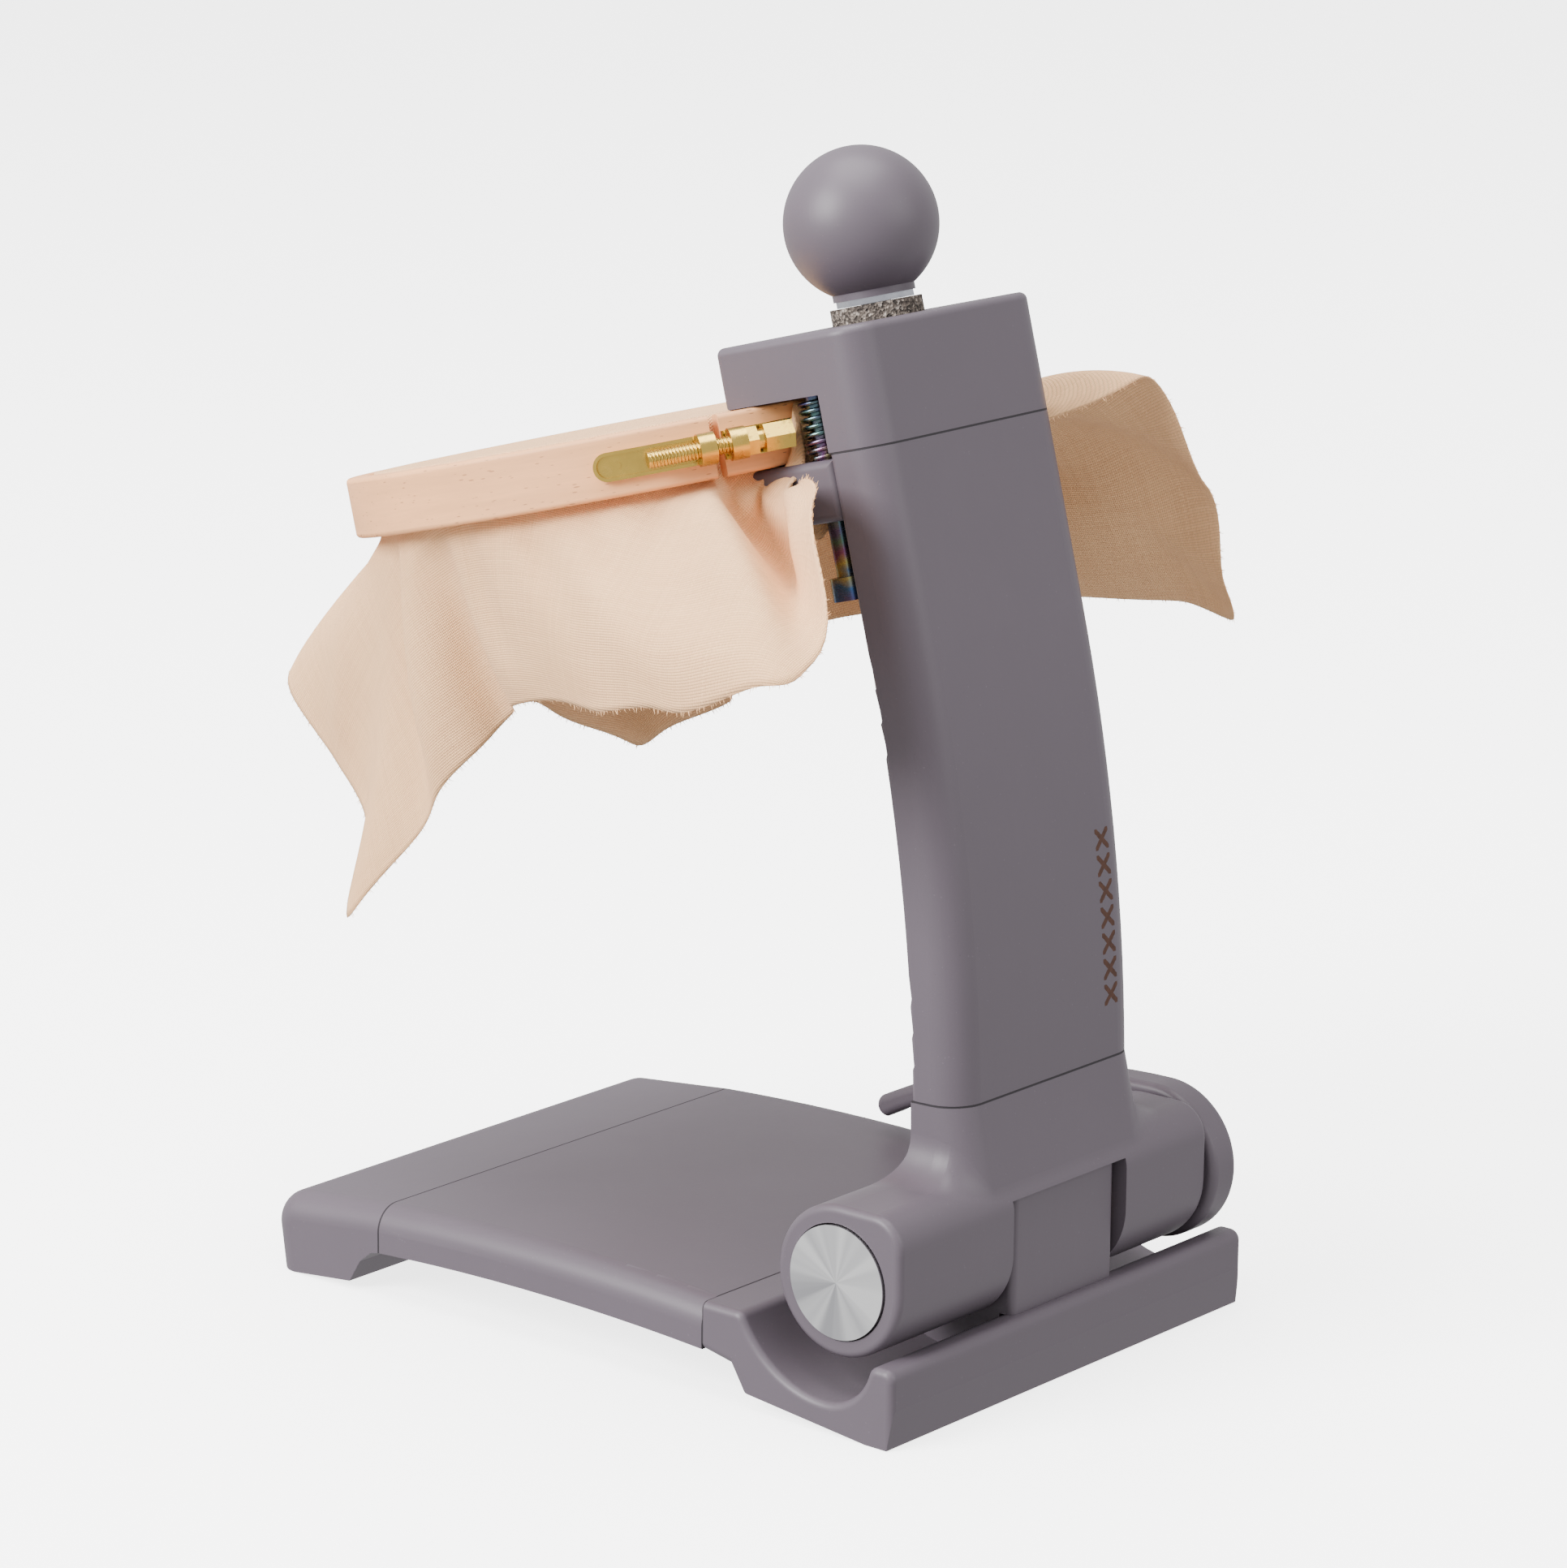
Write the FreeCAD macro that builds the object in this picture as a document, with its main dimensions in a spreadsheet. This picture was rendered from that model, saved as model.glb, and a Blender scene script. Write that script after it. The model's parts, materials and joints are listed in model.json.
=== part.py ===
import FreeCAD, Part
import Sketcher
import math
import os
import re

# Embroidery hoop on a tilting table stand, as separate pieces.
#
# Frame: the origin is on the table, under the middle of the hinge axis. +X runs along the
# hinge towards the aluminium cap, +Y to the back of the stand and +Z up. Millimetres.

V = FreeCAD.Vector
X_AXIS = V(1, 0, 0)
Y_AXIS = V(0, 1, 0)
Z_AXIS = V(0, 0, 1)
FULL_TURN = 360

# ---------------------------------------------------------------- driving dimensions
SIZES = {
    # base boards, seen from the side
    "base_width": 150.0,
    "base_back": 20.0,
    "rear_seam": -41.0,
    "front_seam": -156.0,
    "base_front": -198.0,
    "seam_bottom": 12.6,
    "board_thickness": 12.8,
    "arch_radius": 850.0,
    "foot_land": 7.0,
    "foot_slope": 0.105,
    "nose_setback": 3.0,
    "heel_inset": 8.0,
    "cove_lip": 0.6,
    "foot_length": 28.0,
    "cove_rise": 6.5,
    "cove_run": 4.0,
    "nose_height": 21.0,
    "top_edge_round": 7.0,
    "board_end_round": 2.0,
    "front_nose_round": 9.0,
    "trough_floor": 8.0,
    "trough_middle": -1.0,
    "trough_front_radius": 30.0,
    "trough_rear_radius": 15.0,
    "lip_height": 21.0,
    "lip_lean": 1.5,
    "lip_round": 3.0,
    "dowel_radius": 3.0,
    "dowel_depth": 12.0,
    "dowel_short": 0.5,
    "dowel_spread": 45.0,
    # hinge
    "hinge_height": 39.0,
    "barrel_radius": 20.0,
    "barrel_corner": 9.0,
    "barrel_cap_side": 70.5,
    "barrel_lever_side": 60.0,
    "barrel_end_round": 2.0,
    "slot_width": 48.0,
    "slot_radius": 24.0,
    "lug_width": 43.0,
    "lug_radius": 22.5,
    "lug_back": 18.0,
    "lug_front": 17.0,
    "lug_round": 2.0,
    "lug_screw_spread": 12.0,
    "lug_screw_radius": 2.2,
    "lug_screw_top": 30.0,
    "lug_screw_head": 4.2,
    "lug_screw_head_height": 2.5,
    "bolt_radius": 5.0,
    "bolt_head_radius": 9.0,
    "bolt_head_height": 6.0,
    "bolt_end": 68.5,
    "cross_pin_radius": 1.5,
    "cross_pin_reach": 12.0,
    "bush_radius": 7.0,
    "bush_depth": 32.0,
    "running_clearance": 0.05,
    "side_clearance": 0.3,
    "friction_washer_radius": 15.0,
    "washer_thickness": 1.2,
    "cap_radius": 15.0,
    "cap_thickness": 5.0,
    "cap_proud": 0.7,
    "cap_recess_gap": 0.4,
    "counterbore_radius": 11.0,
    # lock lever
    "lever_thickness": 10.6,
    "lever_hub_radius": 21.4,
    "lever_reach": 97.0,
    "lever_belly_radius": 70.0,
    "lever_tip_radius": 3.2,
    "lever_tip_setback": 4.0,
    "lever_tip_undercut": 1.44,
    "lever_tip_depth": 6.144,
    "lever_top_radius": 205.0,
    "lever_round": 2.2,
    "insert_radius": 8.0,
    "insert_depth": 8.0,
    # fork web and column
    "arm_half_width": 38.0,
    "arm_thickness": 15.7,
    "arm_front": -2.9,
    "arm_curve_start": 62.0,
    "arm_curve_radius": 520.0,
    "arm_lean": 14.5,
    "fork_top_angle": 1.8,
    "arm_back_round": 9.0,
    "arm_front_round": 1.6,
    "fork_side_fillet": 11.0,
    "arm_dowel_radius": 4.0,
    "arm_dowel_depth": 14.0,
    "arm_dowel_spread": 20.0,
    # head and jaws, in the leaning frame of the head
    "nip_rise": 58.35,
    "nip_gap": 16.5,
    "head_seam_drop": 6.85,
    "head_height": 24.0,
    "nose_depth": 31.7,
    "knob_axis_setback": 7.6,
    "edge_round": 2.0,
    "jaw_thickness": 15.7,
    "jaw_half_width": 37.0,
    "jaw_back_gap": 0.4,
    "jaw_travel": 14.0,
    "guide_spread": 30.0,
    "guide_bolt_radius": 3.0,
    "guide_head_radius": 5.0,
    "guide_head_height": 6.0,
    "socket_share": 0.58,
    "guide_hole_gap": 0.25,
    "guide_insert_radius": 4.5,
    "guide_insert_depth": 12.0,
    "spring_radius": 4.35,
    "spring_wire": 0.62,
    "spring_pitch": 2.0,
    "spring_play": 0.2,
    "rod_radius": 4.0,
    "rod_hole_radius": 4.6,
    "rod_below_jaw": 14.0,
    "jaw_insert_radius": 6.5,
    "foam_radius": 12.0,
    "foam_thickness": 4.2,
    "flange_radius": 10.2,
    "flange_thickness": 1.6,
    "flange_gap": 0.1,
    "insert_barrel_length": 14.07,
    "rod_in_ball": 12.06,
    "ball_radius": 20.1,
    "ball_collar_radius": 10.7,
    "ball_collar_height": 1.8,
    # hoop
    "hoop_radius": 81.5,
    "hoop_height": 16.0,
    "outer_ring_wall": 7.0,
    "inner_ring_wall": 7.0,
    "cloth_thickness": 0.5,
    "hoop_gap_width": 2.6,
    "ring_round": 1.2,
    "screw_angle": 54.0,
    "hoop_setback": 93.2,
    "plate_thickness": 0.9,
    "plate_rim": 0.9,
    "plate_height": 7.4,
    "plate_angle": 19.0,
    "plate_pin_radius": 0.8,
    "plate_pin_length": 4.5,
    "eyelet_radius": 4.2,
    "eyelet_overlap": 0.3,
    "pin_head_proud": 0.3,
    "eyelet_length": 4.3,
    "eyelet_spacing": 8.2,
    "hoop_screw_radius": 2.0,
    "hoop_screw_tail": 19.5,
    "screw_nut_length": 2.7,
    "screw_neck_length": 1.8,
    "screw_neck_radius": 2.5,
    "screw_head_length": 7.6,
    "screw_head_across": 3.5,
    "screw_slot_width": 1.0,
    "screw_slot_depth": 1.6,
    "cloth_side": 276.0,
    "cloth_flare": 0.42,
    "cloth_fold": 0.10,
    "cloth_fall": 0.86,
    "cloth_wall": 1.6,
    "cloth_clearance": 0.6,
}

doc = FreeCAD.newDocument("embroidery_hoop_stand")
sheet = doc.addObject("Spreadsheet::Sheet", "Sizes")
for row, (alias, value) in enumerate(SIZES.items(), start=1):
    sheet.set(f"A{row}", alias)
    sheet.set(f"B{row}", str(value))
    sheet.setAlias(f"B{row}", alias)
doc.recompute()
parts = {}


# ---------------------------------------------------------------- small helpers
def size(name):
    """Read one size from the sheet."""
    return float(getattr(sheet, name))


def in_sheet(expression):
    """Point every size name in an expression at its cell."""
    def cell(word):
        return f"Sizes.{word.group()}" if word.group() in SIZES else word.group()

    return re.sub(r"[a-z_]+", cell, expression)


def bind(obj, name, expression):
    """Bind one property to an expression of sheet sizes."""
    obj.setExpression(name, in_sheet(expression))


def value_of(expression):
    """Work out an expression of sheet sizes."""
    return float(sheet.evalExpression(in_sheet(expression)))


def turned(axis, angle, base=V(0, 0, 0)):
    """A placement turned about an axis and moved."""
    return FreeCAD.Placement(base, FreeCAD.Rotation(axis, angle))


def keep(obj, node):
    """Name a finished sub-part, which also names its file."""
    obj.Label = node
    parts[node] = obj
    return obj


def new_body(node):
    return keep(doc.addObject("PartDesign::Body", node), node)


def sketch_on(body, role, name, offset="0"):
    """A sketch attached to one of the body's own origin planes, or set off from it."""
    sketch = body.newObject("Sketcher::SketchObject", name)
    plane = [feature for feature in body.Origin.OriginFeatures if feature.Role == role][0]
    sketch.AttachmentSupport = [(plane, "")]
    sketch.MapMode = "FlatFace"
    bind(sketch, ".AttachmentOffset.Base.z", offset)
    return sketch


def arc_between(start, end, radius, side):
    """An arc from start to end whose centre is on the left or the right of that direction."""
    chord = end - start
    middle = (start + end) * 0.5
    normal = V(-chord.y, chord.x, 0).normalize()
    reach = math.sqrt(max(radius ** 2 - (chord.Length / 2) ** 2, 0.0))
    centre = middle + normal * (reach if side == "left" else -reach)
    first, last = (start, end) if side == "left" else (end, start)
    angles = [math.atan2(point.y - centre.y, point.x - centre.x) for point in (first, last)]
    if angles[1] < angles[0]:
        angles[1] += 2 * math.pi
    return Part.ArcOfCircle(Part.Circle(centre, Z_AXIS, radius), angles[0], angles[1])


def outline(sketch, corners):
    """Draw a closed outline. A corner is (x, y), or (x, y, radius, side) to start an arc there."""
    points = [V(value_of(corner[0]), value_of(corner[1]), 0) for corner in corners]
    starts = []
    ends = []
    for index, corner in enumerate(corners):
        start = points[index]
        end = points[(index + 1) % len(points)]
        if len(corner) == 4:
            edge = sketch.addGeometry(arc_between(start, end, value_of(corner[2]), corner[3]))
            radius = sketch.addConstraint(Sketcher.Constraint("Radius", edge, value_of(corner[2])))
            bind(sketch, f"Constraints[{radius}]", corner[2])
            first, last = (1, 2) if corner[3] == "left" else (2, 1)
        else:
            edge = sketch.addGeometry(Part.LineSegment(start, end))
            first, last = 1, 2
        starts.append((edge, first))
        ends.append((edge, last))
    for index, corner in enumerate(corners):
        edge, vertex = starts[index]
        sketch.addConstraint(Sketcher.Constraint("Coincident", *ends[index - 1], edge, vertex))
        for kind, place, expression in (("DistanceX", points[index].x, corner[0]),
                                        ("DistanceY", points[index].y, corner[1])):
            number = sketch.addConstraint(Sketcher.Constraint(kind, -1, 1, edge, vertex, place))
            bind(sketch, f"Constraints[{number}]", expression)
    return sketch


def round_outline(sketch, x_place, y_place, radius):
    """Draw a full circle."""
    centre = V(value_of(x_place), value_of(y_place), 0)
    edge = sketch.addGeometry(Part.Circle(centre, Z_AXIS, value_of(radius)))
    constraints = (("Radius", (edge, value_of(radius)), radius),
                   ("DistanceX", (-1, 1, edge, 3, centre.x), x_place),
                   ("DistanceY", (-1, 1, edge, 3, centre.y), y_place))
    for kind, arguments, expression in constraints:
        number = sketch.addConstraint(Sketcher.Constraint(kind, *arguments))
        bind(sketch, f"Constraints[{number}]", expression)
    return sketch


def pad(body, sketch, length, back_length=None):
    """Pad a sketch evenly both ways, or by two different lengths."""
    feature = body.newObject("PartDesign::Pad", "Pad")
    feature.Profile = sketch
    feature.SideType = "Symmetric" if back_length is None else "Two sides"
    bind(feature, "Length", length)
    if back_length is not None:
        bind(feature, "Length2", back_length)
    doc.recompute()
    if feature.Shape.isNull() or "Invalid" in feature.State:
        raise RuntimeError(f"{body.Label}: a pad failed")
    return feature


def pocket(body, sketch, length):
    """Cut a sketch into the body evenly both ways, and prove that it cut."""
    before = body.Shape.Volume
    feature = body.newObject("PartDesign::Pocket", "Pocket")
    feature.Profile = sketch
    feature.SideType = "Symmetric"
    bind(feature, "Length", length)
    doc.recompute()
    if body.Shape.Volume >= before:
        raise RuntimeError(f"{body.Label}: a pocket removed nothing")
    return feature


def bore(body, role, offset, x_place, y_place, radius, depth):
    """A round hole cut both ways from a plane that is set off from an origin plane."""
    sketch = round_outline(sketch_on(body, role, "HoleSketch", offset), x_place, y_place, radius)
    return pocket(body, sketch, f"2 * ({depth})")


def edges_where(shape, test):
    """Names of the edges whose middle point and shape pass a test."""
    names = []
    for index, edge in enumerate(shape.Edges, start=1):
        middle = edge.valueAt((edge.FirstParameter + edge.LastParameter) / 2)
        if test(edge, middle):
            names.append(f"Edge{index}")
    return names


def fillet(body, radius, test):
    """Round the edges of a body that pass a test."""
    base = body.Tip
    names = edges_where(base.Shape, test)
    if not names:
        raise RuntimeError(f"{body.Label}: no edge to round")
    feature = body.newObject("PartDesign::Fillet", "Round")
    feature.Base = (base, names)
    bind(feature, "Radius", radius)
    doc.recompute()
    if feature.Shape.isNull() or not feature.Shape.isValid():
        raise RuntimeError(f"{body.Label}: a round failed")
    return feature


def runs_along(edge, axis):
    """True for a straight edge along an axis."""
    if not isinstance(edge.Curve, Part.Line):
        return False
    return abs(abs(edge.tangentAt(edge.FirstParameter).dot(axis)) - 1) < 1e-6


def near(value, target, room=0.05):
    return abs(value - target) < room


def cylinder(name, radius, length, placement):
    """A bound cylinder that starts at its placement and runs along its own +Z."""
    solid = doc.addObject("Part::Cylinder", name)
    bind(solid, "Radius", radius)
    bind(solid, "Height", length)
    solid.Placement = placement
    return solid


def tube(node, outer, inner, length, placement):
    """A bush or washer: a cylinder with a hole right through it."""
    body = cylinder(f"{node}_outside", outer, length, placement)
    hole = cylinder(f"{node}_hole", inner, length, placement)
    cut = doc.addObject("Part::Cut", node)
    cut.Base = body
    cut.Tool = hole
    return keep(cut, node)


def join(node, solids):
    """Fuse several bound solids into one piece."""
    fused = doc.addObject("Part::MultiFuse", node)
    fused.Shapes = solids
    return fused


def along_x(start, height="hinge_height"):
    """A placement on the hinge line whose +Z runs along +X, from a place on that line."""
    return turned(Y_AXIS, 90, V(start, 0, value_of(height)))


# ---------------------------------------------------------------- base
def board_sides(middle):
    return near(abs(middle.x), size("base_width") / 2)


SEAM_TOP = "seam_bottom + board_thickness"
DOWEL_HEIGHT = "seam_bottom + board_thickness / 2"
FRONT_FOOT = "base_front + nose_setback"


def dowel_holes(body, seam):
    """Two blind holes into a seam face, for the dowels that line the boards up."""
    for side in ("-dowel_spread", "dowel_spread"):
        bore(body, "XZ_Plane", f"-({seam})", side, DOWEL_HEIGHT, "dowel_radius", "dowel_depth")


def front_board():
    """The front foot: it stands on a narrow land at its front edge and its top nose is rounded."""
    body = new_body("base_front_bar")
    cove_foot = "base_front + nose_setback + foot_length"
    heel_height = "foot_slope * (foot_length - foot_land)"
    outline(sketch_on(body, "YZ_Plane", "SideOutline"), [
        ("front_seam", "seam_bottom"),
        ("front_seam", SEAM_TOP),
        ("base_front", "nose_height"),
        (FRONT_FOOT, "0"),
        (f"{FRONT_FOOT} + foot_land", "0"),
        (cove_foot, heel_height),
        (f"{cove_foot} + cove_run", f"{heel_height} + cove_rise"),
        (f"{cove_foot} + 2 * cove_run", "seam_bottom - cove_lip"),
    ])
    pad(body, body.Group[-1], "base_width")
    fillet(body, "front_nose_round", lambda edge, middle: near(middle.y, size("base_front"))
           and near(middle.z, size("nose_height")))
    fillet(body, "top_edge_round", lambda edge, middle: board_sides(middle)
           and middle.z > size("nose_height") and middle.y > size("base_front") + size("front_nose_round"))
    dowel_holes(body, "front_seam")
    return body


def middle_board():
    """The middle board: a shallow arch between the two feet."""
    body = new_body("base_middle_board")
    outline(sketch_on(body, "YZ_Plane", "SideOutline"), [
        ("rear_seam", "seam_bottom"),
        ("rear_seam", SEAM_TOP, "arch_radius", "left"),
        ("front_seam", SEAM_TOP),
        ("front_seam", "seam_bottom", "arch_radius", "right"),
    ])
    pad(body, body.Group[-1], "base_width")
    fillet(body, "top_edge_round", lambda edge, middle: board_sides(middle)
           and middle.z > value_of(SEAM_TOP) + 0.3)
    dowel_holes(body, "front_seam")
    dowel_holes(body, "rear_seam")
    return body


def rear_board():
    """The rear foot: a trough for the hinge barrel runs across it and ends in a raised lip."""
    body = new_body("base_rear_bar")
    foot_front = "base_back - 2 * foot_length + 8"
    heel_height = "foot_slope * (2 * foot_length - heel_inset - foot_land)"
    front_centre = "trough_floor + trough_front_radius"
    rear_centre = "trough_floor + trough_rear_radius"
    shoulder = "seam_bottom + board_thickness"
    rim = f"trough_middle - sqrt(trough_front_radius ^ 2 - ({front_centre} - ({shoulder})) ^ 2)"
    lip_inside = f"trough_middle + sqrt(trough_rear_radius ^ 2 - ({rear_centre} - lip_height) ^ 2)"
    outline(sketch_on(body, "YZ_Plane", "SideOutline"), [
        ("rear_seam", "seam_bottom"),
        ("rear_seam", shoulder),
        (rim, shoulder, "trough_front_radius", "left"),
        ("trough_middle", "trough_floor", "trough_rear_radius", "left"),
        (lip_inside, "lip_height"),
        ("base_back + lip_lean", "lip_height"),
        ("base_back + lip_lean", "lip_height / 2"),
        ("base_back", "0"),
        ("base_back - foot_land", "0"),
        (foot_front, heel_height),
        (f"{foot_front} - cove_run", f"{heel_height} + cove_rise"),
    ])
    pad(body, body.Group[-1], "base_width")
    fillet(body, "lip_round", lambda edge, middle: runs_along(edge, X_AXIS)
           and (near(middle.z, size("lip_height")) or near(middle.y, value_of(rim))))
    fillet(body, "board_end_round", lambda edge, middle: board_sides(middle)
           and middle.z > size("foot_land") and middle.y > size("rear_seam") + 1)
    dowel_holes(body, "rear_seam")
    for side in ("-lug_screw_spread", "lug_screw_spread"):
        bore(body, "XY_Plane", "0", side, "trough_middle", "lug_screw_radius", "lug_screw_top")
        bore(body, "XY_Plane", "0", side, "trough_middle", "lug_screw_head", "2 * lug_screw_head_height")
    return body


def hinge_lug():
    """The lug: seated in the trough and on the lip, it fills the fork's slot and carries the bolt."""
    body = new_body("hinge_lug")
    front_centre = "trough_floor + trough_front_radius"
    rear_centre = "trough_floor + trough_rear_radius"
    lip_inside = f"trough_middle + sqrt(trough_rear_radius ^ 2 - ({rear_centre} - lip_height) ^ 2)"
    front_seat = f"{front_centre} - sqrt(trough_front_radius ^ 2 - (lug_front + trough_middle) ^ 2)"
    outline(sketch_on(body, "YZ_Plane", "SideOutline"), [
        ("-lug_front", front_seat, "trough_front_radius", "left"),
        ("trough_middle", "trough_floor", "trough_rear_radius", "left"),
        (lip_inside, "lip_height"),
        ("lug_back", "lip_height"),
        ("lug_back", "hinge_height + sqrt(lug_radius ^ 2 - lug_back ^ 2)", "lug_radius", "left"),
        ("-lug_front", "hinge_height - sqrt(lug_radius ^ 2 - lug_front ^ 2)"),
    ])
    pad(body, body.Group[-1], "lug_width")
    fillet(body, "lug_round", lambda edge, middle: near(abs(middle.x), size("lug_width") / 2)
           and middle.z > size("lip_height") + 1)
    bore(body, "YZ_Plane", "0", "0", "hinge_height", "bolt_radius", "lug_width")
    for side in ("-lug_screw_spread", "lug_screw_spread"):
        bore(body, "XY_Plane", "0", side, "trough_middle", "lug_screw_radius", "lug_screw_top")
    bore(body, "XY_Plane", "hinge_height", "0", "0", "cross_pin_radius", "cross_pin_reach")
    return body


def fork():
    """The fork: a barrel on the hinge line with a slot for the lug, flaring up into the arm's foot."""
    body = new_body("arm_fork")
    corner = "barrel_radius - barrel_corner"
    outline(sketch_on(body, "YZ_Plane", "BarrelOutline"), [
        ("0", "hinge_height - barrel_radius", "barrel_radius", "left"),
        ("barrel_radius", "hinge_height"),
        ("barrel_radius", f"hinge_height + {corner}", "barrel_corner", "left"),
        (corner, "hinge_height + barrel_radius"),
        ("0", "hinge_height + barrel_radius", "barrel_radius", "left"),
        ("-barrel_radius", "hinge_height", "barrel_radius", "left"),
    ])
    pad(body, body.Group[-1], "barrel_cap_side", "barrel_lever_side")
    fillet(body, "barrel_end_round", lambda edge, middle: middle.y > 0 and middle.z < size("hinge_height")
           and (near(middle.x, size("barrel_cap_side")) or near(middle.x, -size("barrel_lever_side"))))
    outline(sketch_on(body, "YZ_Plane", "WebOutline"), [
        ("arm_front", "hinge_height + 6"),
        ("barrel_radius", "hinge_height + 6"),
        ("barrel_radius", "hinge_height + barrel_corner"),
        FORK_TOP_BACK,
        FORK_TOP_FRONT,
        ("arm_front", "arm_curve_start"),
    ])
    pad(body, body.Group[-1], "2 * arm_half_width")
    barrel_top = size("hinge_height") + size("barrel_radius")
    half = size("arm_half_width")
    fillet(body, "arm_back_round", lambda edge, middle: near(abs(middle.x), half)
           and middle.z > barrel_top + 4 and middle.y > size("arm_thickness") / 2)
    fillet(body, "fork_side_fillet", lambda edge, middle: abs(middle.x) < half + 0.2
           and barrel_top - 3 < middle.z < barrel_top + 0.1 and middle.y < size("barrel_radius") - 2.5
           and (abs(middle.x) > half / 2 or middle.y < 0))
    bore(body, "YZ_Plane", "0", "0", "hinge_height", "slot_radius", "slot_width / 2")
    bore(body, "YZ_Plane", "0", "0", "hinge_height", "bush_radius", "2 * barrel_cap_side")
    bore(body, "YZ_Plane", "barrel_cap_side", "0", "hinge_height", "counterbore_radius",
         "barrel_cap_side - slot_width / 2 - bush_depth")
    bore(body, "YZ_Plane", "barrel_cap_side", "0", "hinge_height", "cap_radius + cap_recess_gap",
         "cap_thickness - cap_proud")
    for side in ("-arm_dowel_spread", "arm_dowel_spread"):
        bore(body, "XY_Plane", FORK_TOP_FRONT[1], side, ARM_MIDDLE_AT_FORK, "arm_dowel_radius",
             "arm_dowel_depth")
    return body


# ---------------------------------------------------------------- arm
FORK_TOP_FRONT = ("arm_front - arm_curve_radius * (1 - cos(fork_top_angle * 1 deg))",
                  "arm_curve_start + arm_curve_radius * sin(fork_top_angle * 1 deg)")
FORK_TOP_BACK = (f"{FORK_TOP_FRONT[0]} + arm_thickness * cos(fork_top_angle * 1 deg)",
                 f"{FORK_TOP_FRONT[1]} + arm_thickness * sin(fork_top_angle * 1 deg)")
ARM_MIDDLE_AT_FORK = f"{FORK_TOP_FRONT[0]} + arm_thickness / 2"
BEND_END_FRONT = ("arm_front - arm_curve_radius * (1 - cos(arm_lean * 1 deg))",
                  "arm_curve_start + arm_curve_radius * sin(arm_lean * 1 deg)")
BEND_END_BACK = (f"{BEND_END_FRONT[0]} + arm_thickness * cos(arm_lean * 1 deg)",
                 f"{BEND_END_FRONT[1]} + arm_thickness * sin(arm_lean * 1 deg)")
STRAIGHT = "(nip_rise - head_seam_drop)"
ARM_TOP_FRONT = (f"{BEND_END_FRONT[0]} - {STRAIGHT} * sin(arm_lean * 1 deg)",
                 f"{BEND_END_FRONT[1]} + {STRAIGHT} * cos(arm_lean * 1 deg)")
ARM_TOP_BACK = (f"{BEND_END_BACK[0]} - {STRAIGHT} * sin(arm_lean * 1 deg)",
                f"{BEND_END_BACK[1]} + {STRAIGHT} * cos(arm_lean * 1 deg)")


def in_head(x_place, y_place, z_place, axis=Z_AXIS, angle=0):
    """A placement in the leaning frame of the head: its origin is in the middle of the nip, at the
    arm's front face, its +Z runs up the arm and its +Y to the back."""
    origin = V(0, value_of(f"{BEND_END_FRONT[0]} - nip_rise * sin(arm_lean * 1 deg)"),
               value_of(f"{BEND_END_FRONT[1]} + nip_rise * cos(arm_lean * 1 deg)"))
    frame = turned(X_AXIS, size("arm_lean"), origin)
    return frame.multiply(turned(axis, angle, V(x_place, y_place, z_place)))


def column():
    """The arm: a curved board that becomes straight below the head."""
    body = doc.addObject("PartDesign::Body", "column_board")
    outline(sketch_on(body, "YZ_Plane", "SideOutline"), [
        FORK_TOP_FRONT,
        (*FORK_TOP_BACK, "arm_curve_radius + arm_thickness", "left"),
        BEND_END_BACK,
        ARM_TOP_BACK,
        ARM_TOP_FRONT,
        (*BEND_END_FRONT, "arm_curve_radius", "right"),
    ])
    pad(body, body.Group[-1], "2 * arm_half_width")
    centre = V(0, size("arm_front") - size("arm_curve_radius"), size("arm_curve_start"))
    middle_line = size("arm_curve_radius") + size("arm_thickness") / 2

    def up_the_side(edge, middle, at_back):
        if not near(abs(middle.x), size("arm_half_width")) or edge.Length < size("arm_thickness") + 1:
            return False
        return ((V(0, middle.y, middle.z) - centre).Length > middle_line) == at_back

    fillet(body, "arm_back_round", lambda edge, middle: up_the_side(edge, middle, True))
    fillet(body, "arm_front_round", lambda edge, middle: up_the_side(edge, middle, False))
    for side in ("-arm_dowel_spread", "arm_dowel_spread"):
        bore(body, "XY_Plane", FORK_TOP_FRONT[1], side, ARM_MIDDLE_AT_FORK, "arm_dowel_radius",
             "arm_dowel_depth")
    holes = [head_dowel(f"head_dowel_hole_{index}", side, 0) for index, side in enumerate((-1, 1))]
    cut = doc.addObject("Part::Cut", "arm_column")
    cut.Base = body
    cut.Tool = join("column_dowel_holes", holes)
    return keep(cut, "arm_column")


def head_dowel(name, side, short):
    """A dowel, or its hole, across the seam between the arm and the head."""
    depth = size("arm_dowel_depth") - short
    place = in_head(side * size("arm_dowel_spread"), size("arm_thickness") / 2,
                    -size("head_seam_drop") - depth)
    return cylinder(name, "arm_dowel_radius", f"2 * (arm_dowel_depth - {short})", place)


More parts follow.
